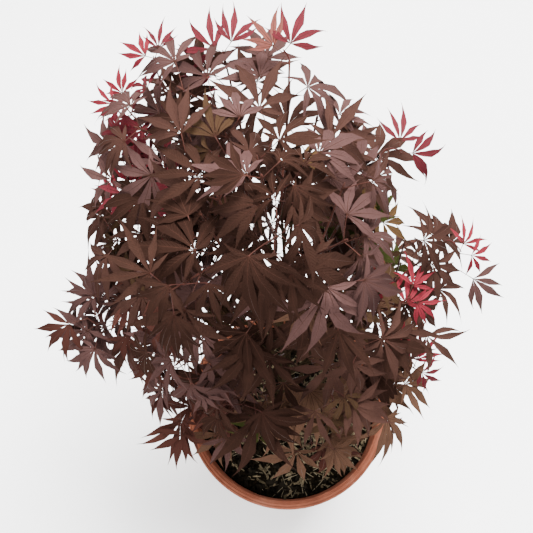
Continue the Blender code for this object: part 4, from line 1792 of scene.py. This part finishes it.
    def crumb_bed(self, rng: Draws) -> Surface:
        """Crumbs: uneven eight-sided lumps, half sunk in the bed.

        Args:
            rng: Source of the draws.

        Returns:
            All the crumbs.
        """
        spots = self.scatter(rng, self.crumbs, 0.0)
        count = len(spots)
        axes = np.array(((1, 0, 0), (0, 1, 0), (-1, 0, 0), (0, -1, 0), (0, 0, 1), (0, 0, -1)))
        least, more = self.crumb_size
        size = least + more * rng.uniform(0, 1, (count, 1, 1)) ** 2
        reach = rng.uniform(0.6, 1.3, (count, 6, 1)) * size
        turn = ray(rng.uniform(0, math.tau, (count, 1)))
        lump = raised(axes[:, :1] * turn + axes[:, 1:2] * left_of(turn), axes[:, 2])
        points = lump * reach + spots[:, None]
        return Surface(points.reshape(-1, 3), closed_rings(1, 4, count)).flipped()

    def straw(self, rng: Draws) -> Surface:
        """Thin bent fibres: tubes along shallow arcs that rest on the bed.

        Args:
            rng: Source of the draws.

        Returns:
            All the fibres.
        """
        spots = self.scatter(rng, self.straws, 0.2)
        count = len(spots)
        heading = ray(rng.uniform(0, math.tau, count))[:, None]
        share = np.linspace(-0.5, 0.5, 5)[None, :, None]
        length = rng.uniform(*self.straw_length, (count, 1, 1))
        bend = rng.uniform(-self.straw_bend, self.straw_bend, (count, 1, 1))
        plan = (spots[:, None, :2] + share * length * heading
                + bend * length * (0.25 - share ** 2) * left_of(heading))
        radius = np.linalg.norm(plan, axis=2, keepdims=True)
        plan = plan * np.minimum(1.0, (self.form.bed_radius - self.edge_room / 2) / radius)
        radii = rng.uniform(*self.straw_radius, (count, 1)) * np.array((0.7, 1, 1, 0.9, 0.5))
        surface = tubes(raised(plan, self.height(plan) + self.straw_lift), radii, 4)
        surface.values["tone"] = rng.uniform(0, 1, count).repeat(len(surface.points) // count)
        return surface

    def build(self) -> None:
        """Make the bed and what lies on it."""
        rng = np.random.default_rng(self.seed + 1)
        bed = CompostFinish().material()
        make_piece("compost_bed", self.bed(), bed, Slot.COMPOST, ["compost"])
        make_piece("compost_crumbs", self.crumb_bed(rng), bed, Slot.COMPOST)
        for kind in self.splinters:
            make_piece(kind.name, self.slabs(rng, kind), kind.finish.material(), Slot.COMPOST)
        make_piece("straw_bits", self.straw(rng), self.straw_finish.material(), Slot.COMPOST)


@dataclass
class Bark:
    """The trunk and boughs, with ridges, nodes and swollen forks."""

    trunk: TrunkForm
    limbs: LimbForm
    trunk_steps: int = 220
    trunk_sides: int = 28
    step_power: float = 1.25
    bough_steps: int = 46
    bough_sides: int = 14
    swell: float = 0.10
    swell_reach: float = 0.0035
    ridge: float = 0.10
    fine_ridge: float = 0.05
    root_ridge: float = 0.14
    root_reach: float = 0.012
    fork: float = 0.35
    fork_share: float = 0.10
    seed: int = 3

    def trunk_surface(self) -> Surface:
        """The trunk as a tube of its own radius, ridged along, swollen at every fork and
        five-sided where its roots leave it.

        Returns:
            The trunk.
        """
        rng = np.random.default_rng(self.seed)
        form = self.trunk
        share = np.linspace(0.0, 1.0, self.trunk_steps) ** self.step_power
        heights = form.foot + share * (form.top - form.foot)
        path = np.array([form.axis(h) for h in heights])
        radius = np.array([form.radius(h) for h in heights])
        forks = np.array([limb.fork for limb in LIMBS])
        swell = np.exp(-((heights[:, None] - forks) / self.swell_reach) ** 2).sum(1)
        angles = round_angles(self.trunk_sides)[None]
        along = (heights - form.foot)[:, None]
        ridges = waves(rng, angles, along, 12, (2, 9), (0.03, 0.14))
        fine = waves(rng, angles, along, 10, (3, 12), (0.006, 0.02))
        roots = np.cos(5 * angles + 0.7) * np.exp(-along / self.root_reach)
        section = 1 + self.swell * swell[:, None] + self.ridge * ridges \
            + self.fine_ridge * fine + self.root_ridge * roots
        return tubes(path[None], (radius[:, None] * section)[None], self.trunk_sides)

    def bough_surface(self) -> Surface:
        """Every bough as a ridged tube, widened where it leaves the trunk.

        Returns:
            All the boughs.
        """
        rng = np.random.default_rng(self.seed + 1)
        runs = [self.limbs.bough(limb, self.bough_steps) for limb in LIMBS]
        share = np.linspace(0.0, 1.0, self.bough_steps)
        widened = 1 + self.fork * np.exp(-(share / self.fork_share) ** 2)
        ridges = waves(rng, round_angles(self.bough_sides)[None], share[:, None] * 0.15, 12,
                       (2, 6), (0.01, 0.06))
        radii = (np.array([run.radii for run in runs]) * widened)[..., None]
        return tubes(np.array([run.points for run in runs]),
                     radii * (1 + self.ridge * ridges[None]), self.bough_sides)

    def build(self) -> None:
        """Make trunk and boughs."""
        bark = BarkFinish().material()
        make_piece("trunk_bark", self.trunk_surface(), bark, Slot.BARK, ["trunk"])
        make_piece("bough_bark", self.bough_surface(), bark, Slot.BARK,
                   [f"bough_{limb.name}" for limb in LIMBS])


@dataclass(frozen=True)
class BladeForm:
    """Outline and lie of a palmate blade, in degrees and in shares of its length. Angles and
    reaches run from its right lobe to its left, and stations are where a lobe's edge has
    points. Jitter, bend and twist are deviations about zero, tilt and tone a mean and its
    deviation, and the other pairs a least and a most."""

    angles: tuple[float, ...] = (-120.0, -77.0, -38.0, 0.0, 38.0, 77.0, 120.0)
    reaches: tuple[float, ...] = (0.42, 0.78, 0.97, 1.04, 0.97, 0.78, 0.42)
    short_reach: float = 0.5
    stations: tuple[float, ...] = (0.15, 0.29, 0.48, 0.68, 0.86)
    short_stations: tuple[float, ...] = (0.34, 0.66)
    size: float = 1.16
    spread: Span = (0.66, 1.00)
    jitter: float = 3.4
    uneven_reach: Span = (0.90, 1.08)
    bend: float = 0.15
    tilt: Span = (-0.22, 0.26)
    twist: float = 0.35
    fold: Span = (0.14, 0.46)
    uneven_width: Span = (0.86, 1.18)
    waist: Span = (1.5, 2.6)
    tip_power: float = 2.1
    widest: float = 0.088
    widest_at: float = 0.45
    outer_edge: float = 48.0
    palm: float = 0.30
    teeth: float = 0.07
    ragged: Span = (0.86, 1.12)
    hang: Span = (0.18, 0.85)
    tone: Span = (0.45, 0.18)
    rib_half_width: float = 0.00030
    rib_taper: float = 0.85
    short_rib: float = 0.75

    def lobe_width(self, share: Array, waist: Array) -> Array:
        """Half width of a free lobe along its length, one at the widest: sin(pi t ** 0.84)
        to the power of the waist below the widest place, which narrows the lobe to its foot,
        and to a higher power beyond it, which draws out the tip."""
        wave = np.sin(math.pi * share ** 0.84)
        return np.where(share < self.widest_at, wave ** waist, wave ** self.tip_power)


class Blades:
    """The blades and ribs of many leaves with one number of lobes, worked out at once."""

    def __init__(self, form: BladeForm, leaves: Sequence[Leaf], lobes: int,
                 rng: Draws) -> None:
        """Take in the leaves and draw how each one lies.

        Args:
            form: Shape of a blade.
            leaves: The leaves.
            lobes: Number of their lobes.
            rng: Source of the draws.
        """
        self.form, self.rng = form, rng
        skip, count = (len(form.angles) - lobes) // 2, len(leaves)
        kept, one, each = slice(skip, skip + lobes), (count, 1), (count, lobes)
        self.short = [reach < form.short_reach for reach in form.reaches[kept]]
        self.length = np.array([leaf.length for leaf in leaves])[:, None] * form.size
        self.hub = np.array([leaf.hub for leaf in leaves])
        self.axes = np.array([leaf.axes for leaf in leaves])
        spread, jitter = rng.uniform(*form.spread, one), rng.normal(0.0, form.jitter, each)
        self.angle = np.radians(np.array(form.angles[kept]) * spread + jitter)
        self.reach = self.length * np.array(form.reaches[kept])
        self.reach = self.reach * rng.uniform(*form.uneven_reach, each)
        self.bend = rng.normal(0.0, form.bend, each)
        self.tilt = rng.normal(*form.tilt, each)
        self.twist = rng.normal(0.0, form.twist, each)
        self.fold = rng.uniform(*form.fold, one)
        self.width = rng.uniform(*form.uneven_width, one)
        self.waist = rng.uniform(*form.waist, one)
        self.hang = rng.uniform(*form.hang, one)
        self.tone = np.clip(rng.normal(*form.tone, count), 0.0, 1.0)
        edge = np.full(one, math.radians(form.outer_edge))
        self.half = np.concatenate([edge, np.abs(np.diff(self.angle, axis=1)) / 2, edge], 1)

    def lobe(self, index: int) -> tuple[Array, Array, Array]:
        """One lobe of every leaf.

        At the share t of a lobe its rib lies at t * reach along the lobe's heading, which
        bends with t squared. Each side goes out from it by the free lobe's width or, in the
        palm, only as far as the line halfway to the next rib. Height falls with the square of
        the distance from the hub and rises with the distance from the rib, and past the palm
        each lobe tips and twists a little by itself.

        Args:
            index: Number of the lobe.

        Returns:
            Local points and chart, three at each station and one at the tip, and the
            stations.
        """
        form, own = self.form, slice(index, index + 1)
        stations = np.array(form.short_stations if self.short[index] else form.stations)
        share, reach, angle = stations[None], self.reach[:, own], self.angle[:, own]
        heading = angle + self.bend[:, own] * share ** 2
        run = share * reach
        free = form.widest * self.width * reach ** 0.7 * self.length ** 0.3 \
            * form.lobe_width(share, self.waist)
        teeth = 1.0 + form.teeth * np.cos(math.pi * np.arange(len(stations)))
        ragged = teeth * self.rng.uniform(*form.ragged, (2, len(reach), len(stations)))
        left, right = (np.minimum(run * np.tan(self.half[:, side:side + 1]), free * edge)
                       for side, edge in zip((index + 1, index), ragged))
        past = np.clip(share - form.palm, 0.0, 1.0)
        offsets = np.stack([left, 0 * run, -right], -1)
        along = ray(heading)[:, :, None]
        plan = run[..., None, None] * along + offsets[..., None] * left_of(along)
        lift = (self.fold[..., None] * np.abs(offsets)
                + (self.twist[:, own] * past)[..., None] * offsets
                + (self.tilt[:, own] * reach * past)[..., None])
        lift -= self.hang[..., None] * (plan ** 2).sum(-1) / self.length[..., None]
        points = raised(plan, lift).reshape(len(reach), -1, 3)
        drop = (self.tilt[:, own] * (1.0 - form.palm) * reach
                - self.hang * reach ** 2 / self.length)
        tip = raised(reach[..., None] * ray(angle + self.bend[:, own]), drop)
        chart = np.stack([offsets, np.repeat(run[..., None], 3, -1)], -1)
        chart = chart.reshape(len(reach), -1, 2) / self.length[..., None]
        end = np.concatenate([0 * reach, reach], 1) / self.length
        return (np.concatenate([points, tip], 1), np.concatenate([chart, end[:, None]], 1),
                stations)

    def placed(self, local: Array) -> Array:
        """Local points put in place by each leaf's hub and axes."""
        return self.hub[:, None] + np.einsum("lpi,lij->lpj", local, self.axes)

    def blades(self) -> Surface:
        """All the blades: the hub, then each lobe as two rows of faces beside its rib.

        Returns:
            The blades, with the tone of each leaf.
        """
        count = len(self.hub)
        points, charts = [np.zeros((count, 1, 3))], [np.zeros((count, 1, 2))]
        quads, tris, start = [], [], 1
        for index in range(self.angle.shape[1]):
            local, chart, stations = self.lobe(index)
            steps = len(stations)
            left = start + 3 * np.arange(steps)
            rib, right, tip = left + 1, left + 2, start + 3 * steps
            for one, other in ((right, rib), (rib, left)):
                tris += [(0, one[0], other[0]), (one[-1], tip, other[-1])]
                quads.append(np.stack([one[:-1], one[1:], other[1:], other[:-1]], -1))
            points.append(local)
            charts.append(chart)
            start = tip + 1
        local, chart = np.concatenate(points, 1), np.concatenate(charts, 1).reshape(-1, 2)
        faces = [copies(kind, count, start) for kind in (np.concatenate(quads), np.array(tris))]
        return Surface(self.placed(local).reshape(-1, 3),
                       [Patch(kind, chart[kind]) for kind in faces],
                       {"tone": self.tone.repeat(start)})

    def ribs(self) -> Surface:
        """A slim three-sided rib under and over the middle of every lobe, as tall below the
        blade as it is wide, and tapering to nothing near the lobe's tip.

        Returns:
            All the ribs.
        """
        count, parts = len(self.hub), []
        for index in range(self.angle.shape[1]):
            local, _, stations = self.lobe(index)
            line = np.concatenate([np.zeros((count, 1, 3)), local[:, 1:-1:3]], 1)
            share = np.concatenate([[0.0], stations])
            half = self.form.rib_half_width * (1.0 - self.form.rib_taper * share)
            half = half * (self.form.short_rib if self.short[index] else 1.0)
            aside = raised(left_of(ray(self.angle[:, index])), 0.0)[:, None]
            rows = np.stack([line + half[:, None] * (x * aside + up(z))
                             for x, z in ((1.0, 0.45), (-1.0, 0.45), (0.0, -1.0))], 2)
            patch = ring_grid(len(share), 3, count, len(share) * 3)
            points = self.placed(rows.reshape(count, -1, 3))
            parts.append(Surface(points.reshape(-1, 3), [patch]))
        return Surface.joined(parts)


@dataclass
class Foliage:
    """Stems, twigs, stalks, ribs and blades of the whole crown."""

    masses: list[Mass]
    limbs: LimbForm
    blade: BladeForm = BladeForm()
    young_blade: BladeForm = BladeForm(widest=0.080, hang=(0.30, 0.90))
    small: float = LeafForm.small
    tip_reach: float = 0.006
    stray: float = 0.26
    inner_share: float = 0.70
    shoot_radii: Span = (0.0010, 0.0006)
    shoot_ahead: float = 0.4
    stem_radii: Span = (0.00145, 0.00095)
    stem_back: float = 0.01
    bud_lengths: Span = (0.0015, 0.0032)
    bud_radii: Span = (0.0011, 0.0002)
    node_swell: float = 0.35
    node_reach: float = 0.10
    twig_radii: Span = (0.00105, 0.00085)
    fine_twig_radii: Span = (0.00080, 0.00062)
    twig_bend: float = 0.012
    stalk_radii: tuple[float, ...] = (0.00095, 0.00045, 0.00038, 0.00036, 0.00040, 0.00056)
    stem_finish: ShootFinish = ShootFinish("young_stem", (0.0180, 0.0072, 0.0052),
                                           (0.046, 0.0170, 0.0130))
    shoot_finish: ShootFinish = ShootFinish("red_shoot", (0.030, 0.0080, 0.0070),
                                            (0.050, 0.014, 0.011))
    stalk_finish: ShootFinish = ShootFinish("leaf_stalk", (0.026, 0.0085, 0.0068),
                                            (0.052, 0.021, 0.0155))
    rib_finish: ShootFinish = ShootFinish("leaf_rib", (0.0165, 0.0062, 0.0042),
                                          (0.0260, 0.0108, 0.0074))
    seed: int = 29

    def dealt(self) -> dict[Tint, list[tuple[str, Leaf]]]:
        """Every leaf with the name of its solid, sorted by tint.

        Returns:
            The leaves of each tint.
        """
        dealt: dict[Tint, list[tuple[str, Leaf]]] = {}
        rng = random.Random(self.seed)
        for mass in self.masses:
            limb, shoot, tip = mass.limb, SHOOTS.get(mass.limb.name), mass.stem.points[-1]
            young = limb.young
            for leaf in mass.leaves:
                if np.linalg.norm(leaf.root - tip) < self.tip_reach:
                    own = self.on_shoot(shoot, leaf) if shoot else [leaf]
                    dealt.setdefault(young, []).extend((mass.node, leaf) for leaf in own)
                    if shoot and shoot.second:
                        young = shoot.second
                    continue
                tint = rng.choice(STRAY_TINTS) if rng.random() < self.stray else limb.grown
                dealt.setdefault(tint, []).append((mass.node, leaf))
            for leaf in mass.fine_leaves:
                tint = limb.inner if rng.random() < self.inner_share else limb.grown
                dealt.setdefault(tint, []).append((mass.node, leaf))
        return dealt

    @staticmethod
    def on_shoot(shoot: Shoot, leaf: Leaf) -> list[Leaf]:
        """What a leaf of a stem's tip becomes on the young shoot that carries the stem on.

        Args:
            shoot: The shoot.
            leaf: The leaf at the stem's tip.

        Returns:
            One leaf for each of the shoot's pairs, from its end downward: each smaller,
            turned further round the shoot and turned up to the light.
        """
        leaves = []
        for pair in range(shoot.pairs):
            move = np.array(shoot.offset) * (1.0 - shoot.pair_step * pair)
            out = unit(flat(leaf.axes[0]) + 0.25 * unit(flat(move)))
            heading = turned(out, math.radians(shoot.pair_turn * pair))
            axes = blade_axes(heading, math.radians(-shoot.lift * heading[1]),
                              math.radians(shoot.lift * heading[0]))
            root = leaf.root + move
            reach = np.linalg.norm(leaf.hub - leaf.root) * shoot.stalk
            hub = root + unit(0.8 * heading + unit(leaf.hub - leaf.root)) * reach
            leaves.append(Leaf(hub, axes, root, leaf.length * shoot.size))
        return leaves

    def young_shoots(self) -> Surface:
        """The young shoots: each leaves its stem's tip along the stem and bends evenly over
        to its own offset, on a quadratic curve, and thins to its end.

        Returns:
            All the young shoots.
        """
        parts = []
        share = np.linspace(0.0, 1.0, 9)[:, None]
        radii = np.linspace(*self.shoot_radii, 9)[None]
        for mass in self.masses:
            shoot = SHOOTS.get(mass.limb.name)
            if shoot:
                before, tip = mass.stem.points[-2:]
                ahead = unit(tip - before) * np.linalg.norm(shoot.offset) * self.shoot_ahead
                path = bezier(share, tip, tip + ahead, tip + np.array(shoot.offset))
                parts.append(tubes(path[None], radii, 7))
        return Surface.joined(parts)

    def stems(self) -> Surface:
        """Every stem as a tube with its nodes swollen and a bud at its end.

        A stem follows its limb's own curve. Its radius falls evenly and grows by a third
        within a few millimetres of a node.

        Returns:
            All the stems.
        """
        parts = []
        for mass in self.masses:
            first = 0.0 if mass.limb is LEADER else self.limbs.share - self.stem_back
            nodes = len(mass.stem.points) - 1
            steps = 1 + nodes * 8
            path = np.array(self.limbs.points(mass.limb, first, 1.0, steps))
            bud = path[-1] + unit(path[-1] - path[-2]) * np.array(self.bud_lengths)[:, None]
            to_node = np.abs((np.linspace(0, nodes, steps) + 0.5) % 1 - 0.5)
            radius = np.linspace(*self.stem_radii, steps) \
                * (1 + self.node_swell * np.exp(-(to_node / self.node_reach) ** 2))
            parts.append(tubes(np.concatenate([path, bud])[None],
                               np.concatenate([radius, self.bud_radii])[None], 8))
        return Surface.joined(parts)

    def twigs(self, runs: Sequence[Run], thick: Span, sides: int) -> Surface:
        """Side twigs as tubes with a slight double bend, swollen at both their nodes.

        Args:
            runs: The twigs.
            thick: Radii at their foot and at their end.
            sides: Number of sides.

        Returns:
            All the twigs.
        """
        root, end = np.moveaxis(np.array([run.points for run in runs]), 1, 0)[:, :, None]
        share = np.concatenate([np.linspace(0.0, 1.0, 11), [1.03, 1.06]])
        bend = np.sin(math.tau * np.minimum(share, 1.0))[None, :, None] * self.twig_bend \
            * np.linalg.norm(end - root, axis=2, keepdims=True)
        path = root + share[None, :, None] * (end - root) + bend * np.array((0.3, 0.2, 0.93))
        nodes = np.exp(-((share - 0.5) / 0.05) ** 2) + np.exp(-((share - 0.97) / 0.04) ** 2)
        radius = (thick[0] + (thick[1] - thick[0]) * share) * (1 + self.node_swell * nodes)
        radius[0] *= 1.5
        radius[-2:] = thick[1] * 0.9, self.bud_radii[1]
        return tubes(path, np.tile(radius, (len(runs), 1)), sides)

    def stalks(self, leaves: Sequence[Leaf]) -> Surface:
        """Leaf stalks: thin tubes on cubic curves from the twig to the hub, swollen where
        they leave the twig and drawn level into the blade.

        Args:
            leaves: The leaves.

        Returns:
            All the stalks.
        """
        root = np.array([leaf.root for leaf in leaves])[:, None]
        hub = np.array([leaf.hub for leaf in leaves])[:, None]
        along, _, upward = np.array([leaf.axes for leaf in leaves]).swapaxes(0, 1)[:, :, None]
        length = np.linalg.norm(hub - root, axis=2, keepdims=True)
        hub = hub + upward * 0.0002
        near_root = root + (hub - root) * 0.35 + up(1.0) * length * 0.07
        near_hub = hub - (hub - root) * 0.25 - along * length * 0.06
        share = np.linspace(0.0, 1.0, len(self.stalk_radii))[None, :, None]
        return tubes(bezier(share, root, near_root, near_hub, hub),
                     np.tile(self.stalk_radii, (len(leaves), 1)), 5)

    def build(self) -> None:
        """Make every piece of the foliage."""
        skin = self.stem_finish.material()
        make_piece("stems", self.stems(), skin, Slot.BARK, [m.node for m in self.masses])
        runs = [run for mass in self.masses for run in mass.twigs]
        fine = [run for mass in self.masses for run in mass.fine_twigs]
        make_piece("twigs", self.twigs(runs, self.twig_radii, 7), skin, Slot.BARK)
        make_piece("fine_twigs", self.twigs(fine, self.fine_twig_radii, 5), skin, Slot.BARK)
        dealt = self.dealt()
        leaves = [leaf for own in dealt.values() for _, leaf in own]
        red = Slot.RED_LEAVES
        make_piece("young_shoots", self.young_shoots(), self.shoot_finish.material(), red)
        make_piece("leaf_stalks", self.stalks(leaves), self.stalk_finish.material(), red)
        ribs = []
        rng = np.random.default_rng(self.seed)
        for tint in filter(dealt.get, Tint):
            form = self.young_blade if tint in YOUNG_TINTS else self.blade
            sheets = []
            for lobes in (7, 5):
                some = [leaf for _, leaf in dealt[tint] if (leaf.length > self.small)
                        == (lobes == 7)]
                if some:
                    blades = Blades(form, some, lobes, rng)
                    sheets.append(blades.blades())
                    ribs.append(blades.ribs())
            make_piece(f"leaves_{tint.name.lower()}", Surface.joined(sheets),
                       LeafFinish(tint).material(), red, {node for node, _ in dealt[tint]})
        make_piece("leaf_ribs", Surface.joined(ribs), self.rib_finish.material(), red)
        LOG.info("crown: %d leaves, %d twigs, %d fine twigs", len(leaves), len(runs), len(fine))


@dataclass
class Studio:
    """Pale floor, soft lights and the camera, which looks down on the crown from in front."""

    focal: float = 54.03
    sensor: float = 36.0
    camera_at: Triple = (-0.02873, -0.22578, 1.37415)
    camera_tilt: float = 21.263
    floor_half: float = 6.0
    sky: float = 1.5

    def floor(self) -> None:
        """A wide level floor under the pot."""
        points = raised(np.array(SQUARE) * self.floor_half, 0.0)
        mesh = Surface(points, [Patch(np.arange(4)[None])]).mesh("floor")
        mesh.materials.append(FloorFinish().material())
        add_object("floor", mesh)

    def light(self, name: str, power: float, size: float, at: Sequence[float],
              aim: Sequence[float] = (0.0, 0.05, 0.45)) -> None:
        """A square soft light turned towards a point.

        Args:
            name: Name of the light.
            power: Its power in watts.
            size: Length of its sides.
            at: Where it is.
            aim: The point that it is turned to.
        """
        data = bpy.data.lights.new(name, "AREA")
        data.energy = power
        data.size = size
        light = add_object(name, data)
        light.location = at
        x, y, z = np.array(aim) - np.array(at)
        light.rotation_euler = (math.atan2(math.hypot(x, y), -z), 0.0, math.atan2(-x, y))

    def camera(self) -> None:
        """The camera of the picture."""
        data = bpy.data.cameras.new("camera")
        data.lens = self.focal
        data.sensor_width = self.sensor
        camera = add_object("camera", data)
        camera.location = self.camera_at
        camera.rotation_euler = (math.radians(self.camera_tilt), 0.0, 0.0)
        bpy.context.scene.camera = camera

    def build(self) -> None:
        """Set up floor, sky, lights and camera."""
        self.floor()
        world = bpy.data.worlds.new("studio")
        world.use_nodes = True
        sky = world.node_tree.nodes["Background"]
        sky.inputs[0].default_value = (1.0, 1.0, 1.0, 1.0)
        sky.inputs[1].default_value = self.sky
        bpy.context.scene.world = world
        self.light("key", 445.0, 1.5, (0.45, 0.9, 2.7))
        self.light("fill", 140.0, 2.0, (-1.0, -1.9, 2.0))
        self.camera()


def main() -> None:
    """Build the plant in its pot and set the scene round it."""
    logging.basicConfig(level=logging.INFO, format="%(name)s: %(message)s")
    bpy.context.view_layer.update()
    pot = PotForm()
    trunk = TrunkForm(pot)
    limbs = LimbForm(trunk)
    masses = Growth(trunk, limbs, LeafForm()).crown()
    Flowerpot(pot).build()
    Compost(pot, trunk).build()
    Bark(trunk, limbs).build()
    Foliage(masses, limbs).build()
    Studio().build()


if __name__ == "__main__":
    main()
